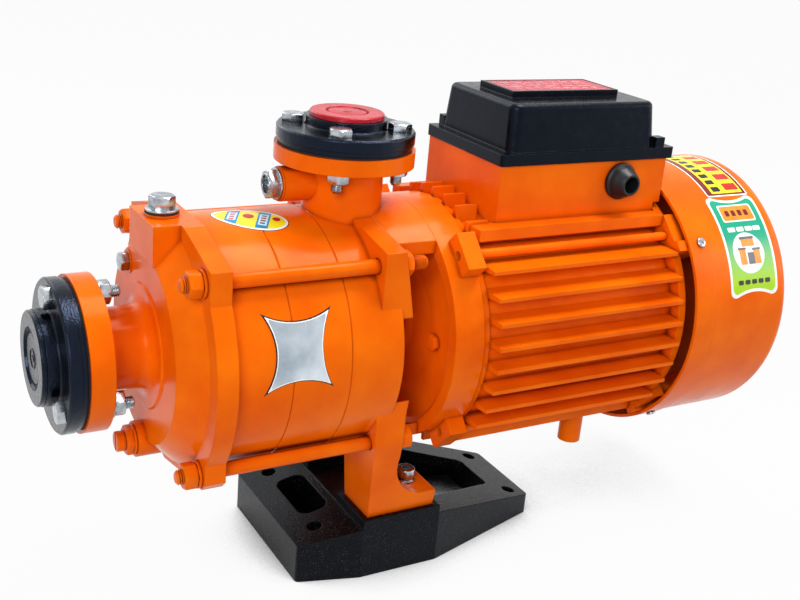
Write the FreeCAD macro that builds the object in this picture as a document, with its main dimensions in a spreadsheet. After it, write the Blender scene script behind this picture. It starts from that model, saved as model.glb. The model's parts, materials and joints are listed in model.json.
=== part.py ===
import FreeCAD, Part
import Sketcher
import operator
import os
from math import cos, radians, sin, sqrt
from types import SimpleNamespace

from FreeCAD import Placement, Rotation, Vector

# Horizontal multistage pump, close coupled to an electric motor, on a cast foot plate.
# Millimetres. X runs along the shaft from the suction port to the fan, Z is up.
# The origin lies on the floor, under the shaft, between the two legs.
# Stations in front of the origin (towards the suction port) are named "..._ahead",
# stations behind it (towards the fan) "..._behind". Both are positive numbers.

DIMENSIONS = {
    # Stance
    "shaft_height": 210.0,
    # Foot plate
    "plate_ahead": 94.0,
    "plate_behind": 166.0,
    "pad_ahead": 39.0,
    "pad_behind": 38.0,
    "pad_top": 56.0,
    "pad_half_width": 83.0,
    "pad_inner_half": 30.0,
    "bridge_top": 48.0,
    "front_half_width": 68.5,
    "front_root_top": 47.0,
    "front_end_top": 35.0,
    "rear_half_width": 44.5,
    "rear_root_top": 49.0,
    "rear_end_top": 19.0,
    "plate_wall": 10.0,
    "plate_web": 11.0,
    "front_window_ahead": 73.0,
    "front_window_half": 31.0,
    "rear_window_behind": 130.0,
    "rear_window_half": 24.0,
    "window_clearance": 7.0,
    "window_corner": 9.0,
    "anchor_hole_radius": 6.5,
    "front_anchor_ahead": 70.0,
    "front_anchor_half": 50.5,
    "rear_anchor_behind": 148.0,
    "rear_anchor_half": 36.0,
    # Legs of the discharge casing
    "leg_ahead": 33.5,
    "leg_behind": 32.0,
    "leg_outer_half": 78.5,
    "leg_inner_half": 34.5,
    "toe_height": 16.5,
    "toe_curve": 38.0,
    "foot_screw_behind": 15.0,
    "foot_screw_half": 56.0,
    "foot_screw_radius": 5.0,
    # Casings
    "casing_joint_ahead": 73.5,
    "stage_pitch": 49.5,
    "casing_radius": 104.0,
    "casing_bore": 95.0,
    "partition": 8.0,
    "joint_chamfer": 0.8,
    "lug_ahead": 45.0,
    "lug_thickness": 18.0,
    "lug_half_width": 94.0,
    "lug_height": 93.0,
    "shoulder_half": 32.0,
    "rear_wall": 10.0,
    "lantern_behind": 18.5,
    "lantern_radius": 109.0,
    "lantern_wall": 9.0,
    "lantern_rib_half": 62.5,
    "dome_radius": 84.0,
    "dome_length": 20.0,
    "gland_radius": 36.0,
    "gland_behind": 8.0,
    # Ports
    "port_bore": 25.0,
    "flange_radius": 62.5,
    "discharge_flange_radius": 58.5,
    "suction_flange": 18.5,
    "discharge_flange": 13.3,
    "suction_face_ahead": 266.5,
    "discharge_face_height": 157.7,
    "discharge_ahead": 39.5,
    "discharge_neck": 33.5,
    "suction_neck": 33.5,
    "gasket": 1.6,
    "companion": 14.0,
    "companion_hub": 10.0,
    "companion_hub_radius": 38.0,
    "discharge_hub": 8.0,
    "pipe_thread": 29.6,
    "discharge_hub_radius": 33.5,
    "discharge_thread": 27.5,
    "discharge_plug_rim": 30.8,
    "discharge_plug_groove": 17.0,
    "suction_plug_groove": 24.0,
    "suction_bolt_circle": 50.0,
    "discharge_bolt_circle": 44.0,
    "port_bolt_radius": 5.0,
    "suction_bolt_angle": 94.0,
    "discharge_bolt_angle": 57.0,
    "side_port_height": 127.0,
    "side_port_ahead": 97.5,
    "side_port_radius": 14.5,
    # Suction cover
    "cover_plate": 17.0,
    "cover_radius": 115.0,
    "cover_lug_half": 94.8,
    "cover_lug_top": 91.0,
    "cover_lug_bottom": 82.0,
    "cover_shoulder_half": 36.0,
    "cover_top": 107.5,
    "cone_length": 19.5,
    "cone_radius": 100.0,
    "cover_wall": 8.0,
    "priming_ahead": 194.5,
    "priming_half": 29.5,
    "priming_front": 211.0,
    "drain_drop": 83.0,
    "vent_side": 38.0,
    "vent_height": 58.5,
    # Tie rods
    "rod_half_width": 80.2,
    "rod_half_height": 78.6,
    "rod_radius": 6.0,
    "rod_front_ahead": 208.0,
    "rod_rear_ahead": 1.0,
    "rod_nut_flats": 19.0,
    "rod_nut_height": 10.8,
    "rod_washer": 2.5,
    "leg_rear_ahead": 13.0,
    # Hydraulics
    "impeller_radius": 66.0,
    "impeller_eye": 22.0,
    "impeller_nose": 26.6,
    "eye_bore": 27.0,
    "shaft_thin": 7.0,
    "shaft_seal": 10.0,
    "hub_radius": 13.0,
    "spacer_radius": 11.0,
    "diffuser_radius": 80.0,
    # Motor
    "ring_radius": 109.0,
    "ring_behind": 47.0,
    "frame_behind": 253.0,
    "frame_radius": 105.0,
    "frame_bore": 97.0,
    "rear_rim_radius": 117.0,
    "fin_tip_radius": 124.0,
    "fin_pitch": 20.0,
    "fin_root": 7.0,
    "fin_edge": 3.6,
    "fin_start_behind": 53.0,
    "top_fin_pitch": 19.0,
    "top_fin_length": 21.0,
    "top_fin_tip_radius": 116.5,
    "rail_outer": 75.0,
    "rail_inner": 60.0,
    "rail_top": 99.0,
    "rail_drop": 98.0,
    "motor_lug_radius": 123.0,
    "motor_lug_half": 17.0,
    "motor_bolt_circle": 114.0,
    "motor_bolt_radius": 4.0,
    "shield_bolt_circle": 69.0,
    "stator_ahead": 95.0,
    "stator_length": 110.0,
    "stator_bore": 55.0,
    "air_gap": 0.5,
    "bearing_outer": 23.5,
    "bearing_inner": 10.0,
    "bearing_width": 14.0,
    "front_bearing_behind": 28.0,
    "rear_bearing_behind": 257.0,
    # Fan end
    "cowl_behind": 263.0,
    "cowl_end_behind": 383.0,
    "cowl_radius": 128.5,
    "cowl_rim_radius": 130.0,
    "cowl_rim_length": 23.5,
    "sheet": 1.5,
    "cowl_corner": 12.0,
    "cowl_screw_angle": 52.5,
    "fan_radius": 108.0,
    # Terminal box
    "box_front_behind": 78.5,
    "box_rear_behind": 260.0,
    "box_half_width": 59.0,
    "box_top": 148.2,
    "box_floor": 108.0,
    "box_wall": 5.0,
    "rim_front_behind": 76.4,
    "rim_rear_behind": 265.8,
    "rim_half_width": 61.0,
    "rim_height": 10.0,
    "lid_height": 40.0,
    "lid_front_behind": 87.0,
    "lid_rear_behind": 247.0,
    "lid_half_width": 57.0,
    "lid_taper": 4.0,
    "lid_corner": 9.0,
    "lid_wall": 3.0,
    "frame_height": 6.0,
    "inlet_behind": 208.5,
    "inlet_height": 129.3,
    "inlet_bore": 7.5,
    # Bright plate on the stage casings
    "badge_angle": 13.2,
    "badge_spread": 33.6,
    "badge_half_length": 26.5,
    "badge_hollow": 7.5,
    "badge_hollow_radius": 58.0,
    # Small running and seating clearances
    "fit": 0.05,
    "seat": 0.1,
    "free": 0.3,
}

# The sheet and sizes that remember their formula

doc = FreeCAD.newDocument("multistage_pump")
sheet = doc.addObject("Spreadsheet::Sheet", "Dims")
for row, (alias, number) in enumerate(DIMENSIONS.items(), 1):
    sheet.set(f"A{row}", alias)
    sheet.set(f"B{row}", str(number))
    sheet.setAlias(f"B{row}", alias)
doc.recompute()


class Size:
    """A length or angle that carries the formula it was worked out with."""

    def __init__(self, value, text):
        self.value = float(value)
        self.text = text

    def __add__(self, other):
        return combined(self, "+", other)

    def __radd__(self, other):
        return combined(other, "+", self)

    def __sub__(self, other):
        return combined(self, "-", other)

    def __rsub__(self, other):
        return combined(other, "-", self)

    def __mul__(self, other):
        return combined(self, "*", other)

    def __rmul__(self, other):
        return combined(other, "*", self)

    def __truediv__(self, other):
        return combined(self, "/", other)

    def __neg__(self):
        return combined(0, "-", self)


OPERATIONS = {"+": operator.add, "-": operator.sub, "*": operator.mul, "/": operator.truediv}


def as_size(number):
    return number if isinstance(number, Size) else Size(number, f"({float(number)})")


def combined(left, sign, right):
    left = as_size(left)
    right = as_size(right)
    return Size(OPERATIONS[sign](left.value, right.value), f"({left.text} {sign} {right.text})")


def cosine(angle):
    angle = as_size(angle)
    return Size(cos(radians(angle.value)), f"cos({angle.text})")


def sine(angle):
    angle = as_size(angle)
    return Size(sin(radians(angle.value)), f"sin({angle.text})")


def root(square):
    return Size(sqrt(square.value), f"sqrt({square.text})")


D = SimpleNamespace(**{alias: Size(sheet.get(alias), f"Dims.{alias}") for alias in DIMENSIONS})

# Sketches and features

NODES = []


def bind(item, name, size):
    item.setExpression(name, as_size(size).text)


def node(item, label):
    item.Label = label
    NODES.append(item)
    return item


TURNS = {
    "+x": Rotation(),
    "-x": Rotation(Vector(0, 0, 1), 180),
    "+y": Rotation(Vector(0, 0, 1), 90),
    "-y": Rotation(Vector(0, 0, 1), -90),
    "+z": Rotation(Vector(0, 1, 0), -90),
    "-z": Rotation(Vector(0, 1, 0), 90),
}


def place(item, rotation, x, y, z):
    item.Placement = Placement(Vector(), rotation)
    for letter, size in zip("xyz", (x, y, z)):
        bind(item, f"Placement.Base.{letter}", size)


def new_body(label, facing="+x", x=0, y=0, z=D.shaft_height):
    """A piece whose own X axis points the way given, with its origin on the shaft line."""
    body = doc.addObject("PartDesign::Body", label)
    place(body, TURNS[facing], x, y, z)
    return node(body, label)


def origin_feature(body, role):
    return next(item for item in body.Origin.OriginFeatures if item.Role == role)


def start_sketch(body, plane, offset=0):
    sketch = body.newObject("Sketcher::SketchObject", "Sketch")
    sketch.AttachmentSupport = [(origin_feature(body, plane + "_Plane"), "")]
    sketch.MapMode = "FlatFace"
    bind(sketch, "AttachmentOffset.Base.z", offset)
    return sketch


def hold(sketch, geometry, point, across, up):
    """Ties one sketch point to its two sizes."""
    for kind, axis, size in (("DistanceX", -2, across), ("DistanceY", -1, up)):
        size = as_size(size)
        if size.value == 0:
            sketch.addConstraint(Sketcher.Constraint("PointOnObject", geometry, point, axis))
        else:
            index = sketch.addConstraint(Sketcher.Constraint(kind, -1, 1, geometry, point, size.value))
            bind(sketch, f"Constraints[{index}]", size)


def side_between(first, second, bow):
    """A straight side, or an arc of radius bow that turns left (positive) or right (negative)."""
    if not bow:
        return Part.LineSegment(first, second), (1, 2)
    radius = abs(as_size(bow).value)
    chord = second - first
    left = Vector(-chord.y, chord.x, 0).normalize()
    reach = sqrt(radius ** 2 - (chord.Length / 2) ** 2)
    turn = 1 if as_size(bow).value > 0 else -1
    centre = (first + second) * 0.5 + left * reach * turn
    ends = (first, second) if turn > 0 else (second, first)
    angles = [Vector(1, 0, 0).getAngle(end - centre) * (1 if end.y >= centre.y else -1) for end in ends]
    circle = Part.Circle(centre, Vector(0, 0, 1), radius)
    return Part.ArcOfCircle(circle, angles[0], angles[1]), ((1, 2) if turn > 0 else (2, 1))


def outline(sketch, points):
    """A closed outline; a third entry bows the side that starts at that point."""
    flat = [Vector(as_size(p[0]).value, as_size(p[1]).value, 0) for p in points]
    sides = []
    for index, point in enumerate(points):
        bow = point[2] if len(point) > 2 else 0
        shape, ends = side_between(flat[index], flat[(index + 1) % len(flat)], bow)
        sides.append((sketch.addGeometry(shape), ends))
    for index, (geometry, ends) in enumerate(sides):
        following, next_ends = sides[(index + 1) % len(sides)]
        sketch.addConstraint(Sketcher.Constraint("Coincident", geometry, ends[1], following, next_ends[0]))
        hold(sketch, geometry, ends[0], points[index][0], points[index][1])
        if len(points[index]) > 2:
            bow = as_size(points[index][2])
            size = bow if bow.value > 0 else -bow
            number = sketch.addConstraint(Sketcher.Constraint("Radius", geometry, size.value))
            bind(sketch, f"Constraints[{number}]", size)
    return sketch


def circle(sketch, across, up, radius):
    shape = Part.Circle(Vector(as_size(across).value, as_size(up).value, 0), Vector(0, 0, 1), radius.value)
    geometry = sketch.addGeometry(shape)
    hold(sketch, geometry, 3, across, up)
    number = sketch.addConstraint(Sketcher.Constraint("Radius", geometry, radius.value))
    bind(sketch, f"Constraints[{number}]", radius)
    return sketch


def rectangle(sketch, low_across, high_across, low_up, high_up):
    corners = [(low_across, low_up), (high_across, low_up), (high_across, high_up), (low_across, high_up)]
    return outline(sketch, corners)


def settled(body, feature, grows):
    """Recomputes and makes sure that the feature added or removed material."""
    before = feature.BaseFeature.Shape.Volume if feature.BaseFeature else 0
    doc.recompute()
    change = feature.Shape.Volume - before
    if (change <= 0) if grows else (change >= 0):
        raise ValueError(f"{body.Label}: {feature.Name} changed nothing")
    return feature


def pad(body, sketch, length):
    feature = body.newObject("PartDesign::Pad", "Pad")
    feature.Profile = sketch
    bind(feature, "Length", length)
    return settled(body, feature, True)


def pocket(body, sketch, length, onward=True):
    """Cuts along the sketch's own normal, or against it."""
    feature = body.newObject("PartDesign::Pocket", "Pocket")
    feature.Profile = sketch
    bind(feature, "Length", length)
    feature.Reversed = onward
    return settled(body, feature, False)


def turn(body, points, kind="Revolution"):
    """Turns an outline (along the axis, from the axis) once round the piece's X axis."""
    sketch = outline(start_sketch(body, "XZ"), points)
    feature = body.newObject("PartDesign::" + kind, kind)
    feature.Profile = sketch
    feature.ReferenceAxis = (sketch, ["H_Axis"])
    return settled(body, feature, kind == "Revolution")


def loft(body, first, second, kind="AdditiveLoft"):
    feature = body.newObject("PartDesign::" + kind, kind)
    feature.Profile = first
    feature.Sections = [second]
    feature.Ruled = True
    return settled(body, feature, kind == "AdditiveLoft")


def polar(body, feature, count):
    pattern = body.newObject("PartDesign::PolarPattern", "PolarPattern")
    pattern.Originals = [feature]
    pattern.Axis = (origin_feature(body, "X_Axis"), [""])
    pattern.Angle = 360
    pattern.Occurrences = count
    body.Tip = pattern
    doc.recompute()
    return pattern


def mirrored(body, feature):
    """Repeats a feature on the other side of the shaft."""
    pattern = body.newObject("PartDesign::Mirrored", "Mirrored")
    pattern.Originals = [feature]
    pattern.MirrorPlane = (origin_feature(body, "XZ_Plane"), [""])
    body.Tip = pattern
    doc.recompute()
    return pattern


def rounded(body, radius, chosen, kind="Fillet"):
    """Rounds or bevels the edges of the tip whose middle passes the test."""
    base = body.Tip
    names = []
    for index, edge in enumerate(base.Shape.Edges, 1):
        middle = edge.valueAt((edge.FirstParameter + edge.LastParameter) / 2)
        if chosen(edge, middle):
            names.append(f"Edge{index}")
    feature = body.newObject("PartDesign::" + kind, kind)
    feature.Base = (base, names)
    bind(feature, "Radius" if kind == "Fillet" else "Size", radius)
    doc.recompute()
    return feature


def turned(label, points, facing="+x", x=0, y=0, z=D.shaft_height):
    body = new_body(label, facing, x, y, z)
    turn(body, points)
    return body


def near(value, size):
    return abs(value - as_size(size).value) < 0.2


def is_upright(edge):
    low, high = edge.Vertexes[0].Point, edge.Vertexes[-1].Point
    return abs(low.x - high.x) < 0.2 and abs(low.y - high.y) < 0.2 and abs(low.z - high.z) > 1


# Fasteners from primitives

UPRIGHT = {
    "+x": Rotation(Vector(0, 1, 0), 90),
    "-x": Rotation(Vector(0, 1, 0), -90),
    "+y": Rotation(Vector(1, 0, 0), -90),
    "-y": Rotation(Vector(1, 0, 0), 90),
    "+z": Rotation(),
    "-z": Rotation(Vector(1, 0, 0), 180),
}


def along(at, facing, start):
    """The point that lies a distance start along the given direction."""
    index = "xyz".index(facing[1])
    shift = start if facing[0] == "+" else -start
    return [size + shift if number == index else size for number, size in enumerate(at)]


def solid(kind, at, facing, start, length, radius):
    """One primitive whose axis points the way given; a hexagon's radius is half its flats."""
    item = doc.addObject("Part::Prism" if kind == "hexagon" else "Part::Cylinder", kind)
    if kind == "hexagon":
        item.Polygon = 6
        bind(item, "Circumradius", radius / cosine(30))
    else:
        bind(item, "Radius", radius)
    bind(item, "Height", length)
    place(item, UPRIGHT[facing], *along(at, facing, start))
    return item


def joined(items):
    fused = doc.addObject("Part::MultiFuse", "joined")
    fused.Shapes = items
    return fused


def drilled(item, tool):
    cut = doc.addObject("Part::Cut", "drilled")
    cut.Base = item
    cut.Tool = tool
    return cut


def group(label, items):
    compound = doc.addObject("Part::Compound", label)
    compound.Links = items
    return node(compound, label)


def round_positions(circle_radius, angle, count):
    """Offsets (first, second) of a bolt circle."""
    step = 360 / count
    return [(circle_radius * cosine(angle + k * step), circle_radius * sine(angle + k * step))
            for k in range(count)]


def corners(half_width, half_height):
    return [(across * half_width, up * half_height) for across in (-1, 1) for up in (1, -1)]


def hexagon_bolt(at, facing, flats, head, radius, length):
    """A bolt whose head stands on the point given and whose shank runs the other way."""
    back = {"+": "-", "-": "+"}[facing[0]] + facing[1]
    return joined([
        solid("hexagon", at, facing, as_size(0), head, flats / 2),
        solid("cylinder", at, back, -head / 2, length + head / 2, radius),
    ])


def nut(at, facing, flats, height, hole):
    return drilled(solid("hexagon", at, facing, as_size(0), height, flats / 2),
                   solid("cylinder", at, facing, as_size(-1), height + 2, hole))


def washer(at, facing, radius, height, hole):
    return drilled(solid("cylinder", at, facing, as_size(0), height, radius),
                   solid("cylinder", at, facing, as_size(-1), height + 2, hole))


# Stations along the shaft

FOOT_LEVEL = D.pad_top - D.shaft_height
LUG_REAR = D.lug_thickness - D.lug_ahead
JOINTS = [-D.casing_joint_ahead - D.stage_pitch * k for k in range(3)]
COVER_REAR = JOINTS[2]
COVER_FRONT = COVER_REAR - D.cover_plate
CONE_FRONT = COVER_FRONT - D.cone_length
SUCTION_FACE = -D.suction_face_ahead
SUCTION_COMPANION = SUCTION_FACE - D.gasket
DISCHARGE_COMPANION = D.discharge_face_height + D.gasket
ROD_CORNERS = corners(D.rod_half_width, D.rod_half_height)
QUARTERS = [45, 135, 225, 315]


# Foot plate

def slab(body, station, half_width, low, high):
    return rectangle(start_sketch(body, "YZ", station), -half_width, half_width, low, high)


def window(sketch, front, front_half, rear, rear_half):
    """A window through the foot plate with rounded corners, as wide as asked at each end."""
    slope = (rear_half - front_half) / (rear - front)
    soft = D.window_corner
    near_half = front_half + slope * soft
    far_half = rear_half - slope * soft
    bow = 1.02 * soft
    outline(sketch, [
        (front, soft - front_half, bow), (front + soft, -near_half),
        (rear - soft, -far_half, bow), (rear, soft - rear_half),
        (rear, rear_half - soft, bow), (rear - soft, far_half),
        (front + soft, near_half, bow), (front, front_half - soft)])


def make_foot_plate():
    body = new_body("foot_plate", z=0)
    plan = outline(start_sketch(body, "XY"), [
        (-D.plate_ahead, -D.front_half_width), (-D.pad_ahead, -D.pad_half_width),
        (D.pad_behind, -D.pad_half_width), (D.plate_behind, -D.rear_half_width),
        (D.plate_behind, D.rear_half_width), (D.pad_behind, D.pad_half_width),
        (-D.pad_ahead, D.pad_half_width), (-D.plate_ahead, D.front_half_width)])
    pad(body, plan, D.pad_top)
    rounded(body, as_size(4), lambda edge, p: is_upright(edge) and (
        near(p.x, -D.plate_ahead) or near(p.x, D.plate_behind)))
    # Both ends slope down from the pads, and the bridge between the pads lies lower too.
    slopes = start_sketch(body, "XZ", -D.pad_half_width - 1)
    above = D.pad_top + 1
    outline(slopes, [(-D.plate_ahead - 1, D.front_end_top), (-D.pad_ahead, D.front_root_top),
                     (-D.pad_ahead, above), (-D.plate_ahead - 1, above)])
    outline(slopes, [(D.pad_behind, D.rear_root_top), (D.plate_behind + 1, D.rear_end_top),
                     (D.plate_behind + 1, above), (D.pad_behind, above)])
    pocket(body, slopes, 2 * D.pad_half_width + 2)
    bridge = start_sketch(body, "XZ", -D.pad_inner_half)
    rectangle(bridge, -D.pad_ahead - 1, D.pad_behind + 1, D.bridge_top, above)
    pocket(body, bridge, 2 * D.pad_inner_half)
    # The underside is hollow on both sides of the bridge, under a web and inside a skirt.
    front_skirt = D.front_window_half + D.plate_wall
    loft(body, slab(body, D.plate_wall - D.plate_ahead, front_skirt, 0, D.front_end_top - D.plate_web),
         slab(body, -D.pad_ahead, front_skirt, 0, D.front_root_top - D.plate_web), "SubtractiveLoft")
    share = (D.plate_behind - D.rear_window_behind) / (D.plate_behind - D.pad_behind)
    end_half = D.rear_half_width + share * (D.pad_half_width - D.rear_half_width) - D.plate_wall
    end_top = D.rear_end_top + share * (D.rear_root_top - D.rear_end_top) - D.plate_web
    loft(body, slab(body, D.pad_behind, D.pad_half_width - D.plate_wall, 0,
                    D.rear_root_top - D.plate_web),
         slab(body, D.rear_window_behind, end_half, 0, end_top), "SubtractiveLoft")
    windows = start_sketch(body, "XY")
    window(windows, -D.front_window_ahead, D.front_window_half,
           -D.pad_ahead - D.window_clearance, D.front_window_half)
    window(windows, D.pad_behind + D.window_clearance, D.rear_window_half + D.pad_inner_half,
           D.rear_window_behind, D.rear_window_half)
    pocket(body, windows, D.pad_top)
    anchors = start_sketch(body, "XY")
    for side in (-1, 1):
        circle(anchors, -D.front_anchor_ahead, side * D.front_anchor_half, D.anchor_hole_radius)
        circle(anchors, D.rear_anchor_behind, side * D.rear_anchor_half, D.anchor_hole_radius)
    pocket(body, anchors, D.pad_top)
    screws = start_sketch(body, "XY", D.pad_top)
    for side in (-1, 1):
        circle(screws, D.foot_screw_behind, side * D.foot_screw_half, D.foot_screw_radius + D.fit)
    pocket(body, screws, as_size(22), onward=False)


def make_foot_screws():
    screws = []
    toe_top = D.pad_top + D.toe_height
    for side in (-1, 1):
        at = [D.foot_screw_behind, side * D.foot_screw_half, toe_top]
        ring = solid("cylinder", at, "+z", as_size(0), as_size(2), as_size(8.8))
        head = solid("cylinder", at, "+z", as_size(2), 2 * D.foot_screw_radius, 1.6 * D.foot_screw_radius)
        shank = solid("cylinder", at, "-z", as_size(-1), D.toe_height + 19, D.foot_screw_radius)
        socket = solid("hexagon", at, "+z", D.foot_screw_radius + 2, as_size(12), 0.8 * D.foot_screw_radius)
        screws.append(drilled(joined([ring, head, shank]), socket))
    group("foot_screws", screws)


# Discharge casing with its legs and the lantern that carries the motor

def make_discharge_casing():
    body = new_body("discharge_casing")
    barrel = [(JOINTS[0], 0), (JOINTS[0], D.casing_radius - D.joint_chamfer),
              (JOINTS[0] + D.joint_chamfer, D.casing_radius), (LUG_REAR, D.casing_radius), (LUG_REAR, 0)]
    lantern_bore = D.lantern_radius - D.lantern_wall
    turn(body, barrel)
    turn(body, [(-D.lug_ahead, lantern_bore - 5), (-D.lug_ahead, D.casing_radius),
                (LUG_REAR, D.lantern_radius), (D.lantern_behind, D.lantern_radius),
                (D.lantern_behind, lantern_bore), (LUG_REAR, lantern_bore)])
    reach = D.lug_half_width + D.lantern_radius
    opening = rectangle(start_sketch(body, "XZ", D.lantern_rib_half), LUG_REAR, D.lantern_behind + 1,
                        -D.lantern_radius, D.lantern_radius)
    mirrored(body, pocket(body, opening, reach, onward=True))
    outline_front = [(-D.lug_half_width, 0), (-D.lug_half_width, D.lug_height),
                     (-D.shoulder_half, D.casing_radius), (D.shoulder_half, D.casing_radius),
                     (D.lug_half_width, D.lug_height), (D.lug_half_width, 0)]
    pad(body, outline(start_sketch(body, "YZ", -D.lug_ahead), outline_front), D.lug_thickness)
    toe = FOOT_LEVEL + D.toe_height
    leg = outline(start_sketch(body, "XZ", D.leg_inner_half), [
        (-D.lug_ahead, D.lug_height), (5 - D.lug_ahead, -D.rod_half_height), (-D.leg_ahead, FOOT_LEVEL),
        (D.leg_behind, FOOT_LEVEL), (D.leg_behind, toe), (D.foot_screw_behind, toe, -D.toe_curve),
        (-D.leg_rear_ahead, -D.rod_half_height - 15), (-D.leg_rear_ahead, -D.rod_half_height + 26),
        (2 - D.leg_rear_ahead, -D.leg_ahead), (LUG_REAR + 11, D.lug_height - 55),
        (LUG_REAR, D.lug_height)])
    mirrored(body, pad(body, leg, D.lug_half_width - D.leg_inner_half))
    lean = start_sketch(body, "YZ", -D.lug_ahead)
    for side in (-1, 1):
        outline(lean, [(side * D.leg_outer_half, FOOT_LEVEL), (side * (D.leg_outer_half + 40), FOOT_LEVEL),
                       (side * (D.leg_outer_half + 40), D.lug_height), (side * D.lug_half_width, D.lug_height),
                       (side * (D.lug_half_width - 2), -D.rod_half_height)])
    pocket(body, lean, D.lug_ahead + D.leg_behind)
    turn(body, [(LUG_REAR, 0), (LUG_REAR, lantern_bore), (D.lantern_behind + 1, lantern_bore),
                (D.lantern_behind + 1, 0)], "Groove")
    turn(body, barrel)
    dome_end = LUG_REAR + D.dome_length
    turn(body, [(LUG_REAR - 4, 0), (LUG_REAR - 4, D.dome_radius), (LUG_REAR, D.dome_radius),
                (dome_end - 4, 0.78 * D.dome_radius), (dome_end, 0.7 * D.dome_radius),
                (dome_end, D.gland_radius), (D.gland_behind, D.gland_radius - 2), (D.gland_behind, 0)])
    # The discharge nozzle stands on the barrel and the plugged side port looks forward.
    neck = circle(start_sketch(body, "XY", D.casing_bore), -D.discharge_ahead, 0, D.discharge_neck)
    pad(body, neck, D.discharge_face_height - D.casing_bore)
    flange = circle(start_sketch(body, "XY", D.discharge_face_height - D.discharge_flange),
                    -D.discharge_ahead, 0, D.discharge_flange_radius)
    pad(body, flange, D.discharge_flange)
    side_port = circle(start_sketch(body, "YZ", -D.side_port_ahead), 0, D.side_port_height,
                       D.side_port_radius)
    pad(body, side_port, D.side_port_ahead - D.discharge_ahead)
    seal_seat_rear = LUG_REAR + 4
    turn(body, [(JOINTS[0], 0), (JOINTS[0], D.casing_bore),
                (LUG_REAR - D.rear_wall, D.casing_bore), (LUG_REAR - D.rear_wall, D.shaft_seal + 11),
                (seal_seat_rear, D.shaft_seal + 11), (seal_seat_rear, D.shaft_seal + D.free),
                (seal_seat_rear + 7, D.shaft_seal + D.free), (seal_seat_rear + 7, D.shaft_seal + 4),
                (D.gland_behind, D.shaft_seal + 4), (D.gland_behind, 0)], "Groove")
    bore = circle(start_sketch(body, "XY", D.casing_bore - 12), -D.discharge_ahead, 0, D.port_bore)
    pocket(body, bore, D.discharge_face_height)
    side_bore = circle(start_sketch(body, "YZ", -D.side_port_ahead), 0, D.side_port_height, as_size(8))
    pocket(body, side_bore, D.side_port_ahead - D.discharge_ahead)
    bolts = start_sketch(body, "XY", D.discharge_face_height - D.discharge_flange)
    for across, up in round_positions(D.discharge_bolt_circle, D.discharge_bolt_angle, 4):
        circle(bolts, across - D.discharge_ahead, up, D.port_bolt_radius + 0.5)
    pocket(body, bolts, D.discharge_flange)
    rods = start_sketch(body, "YZ", -D.lug_ahead)
    for across, up in ROD_CORNERS:
        circle(rods, across, up, D.rod_radius + 0.5)
    pocket(body, rods, D.lug_ahead)
    seats = start_sketch(body, "YZ", LUG_REAR)
    for side in (-1, 1):
        circle(seats, side * D.rod_half_width, D.rod_half_height, D.rod_nut_flats / 2 + 3.5)
    pocket(body, seats, as_size(15))
    feet = start_sketch(body, "XY", FOOT_LEVEL)
    for side in (-1, 1):
        circle(feet, D.foot_screw_behind, side * D.foot_screw_half, D.foot_screw_radius + 0.5)
    pocket(body, feet, D.toe_height)
    seats = start_sketch(body, "XY", FOOT_LEVEL + D.toe_height)
    for side in (-1, 1):
        circle(seats, D.foot_screw_behind, side * D.foot_screw_half, 2 * D.foot_screw_radius)
    pocket(body, seats, as_size(25))


def make_discharge_flange_parts():
    places = round_positions(D.discharge_bolt_circle, D.discharge_bolt_angle, 4)
    make_companion("discharge", "+z", -D.discharge_ahead, D.shaft_height + D.discharge_face_height,
                   D.discharge_flange_radius - 1.2, D.discharge_hub, D.discharge_hub_radius,
                   D.discharge_thread, places, D.discharge_plug_rim, D.discharge_plug_groove)
    bolts = []
    nuts = []
    top = D.shaft_height + DISCHARGE_COMPANION + D.companion
    under = D.shaft_height + D.discharge_face_height - D.discharge_flange
    for across, up in places:
        at = [across - D.discharge_ahead, up, top]
        grip = D.companion + D.gasket + D.discharge_flange
        bolts.append(hexagon_bolt(at, "+z", 3.4 * D.port_bolt_radius, 1.3 * D.port_bolt_radius,
                                  D.port_bolt_radius, grip + 17))
        nuts.append(nut([at[0], at[1], under], "-z", 3.4 * D.port_bolt_radius,
                        1.7 * D.port_bolt_radius, D.port_bolt_radius + D.fit))
    group("discharge_flange_bolts", bolts)
    group("discharge_flange_nuts", nuts)


def make_companion(port, facing, x, z, radius, hub_length, hub, thread, bolts, rim, groove):
    """The gasket, the screwed companion flange and the plug of one port; local X points outwards."""
    gasket = turned(f"{port}_gasket", [(0, D.port_bore), (0, radius - 2), (D.gasket, radius - 2),
                                       (D.gasket, D.port_bore)], facing, x, 0, z)
    outer = D.gasket + D.companion
    face = outer + hub_length
    flange = turned(f"{port}_companion_flange", [
        (D.gasket, thread - 4), (D.gasket, radius - 1.5), (D.gasket + 4, radius - 1.5),
        (D.gasket + 4, radius), (outer - 1.5, radius),
        (outer, radius - 1.5), (outer, hub + 1), (outer + 1, hub), (face, hub), (face, thread),
        (D.gasket + 4, thread)], facing, x, 0, z)
    for body in (gasket, flange):
        holes = start_sketch(body, "YZ")
        for across, up in bolts:
            circle(holes, across, up, D.port_bolt_radius + 0.5)
        pocket(body, holes, outer)
    rest = face + D.seat
    turned(f"{port}_port_plug", [
        (rest - 14, thread - 4), (rest - 14, thread - D.free), (rest, thread - D.free),
        (rest, rim), (rest + 3, rim), (rest + 4, rim - 1), (rest + 4, groove + 1),
        (rest + 1.5, groove), (rest + 1.5, groove - 3.5), (rest + 2.6, groove - 4.5), (rest + 2.6, 0),
        (rest - 1, 0), (rest - 1, thread - 4)], facing, x, 0, z)


# Stage casings, diffusers and impellers

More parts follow.
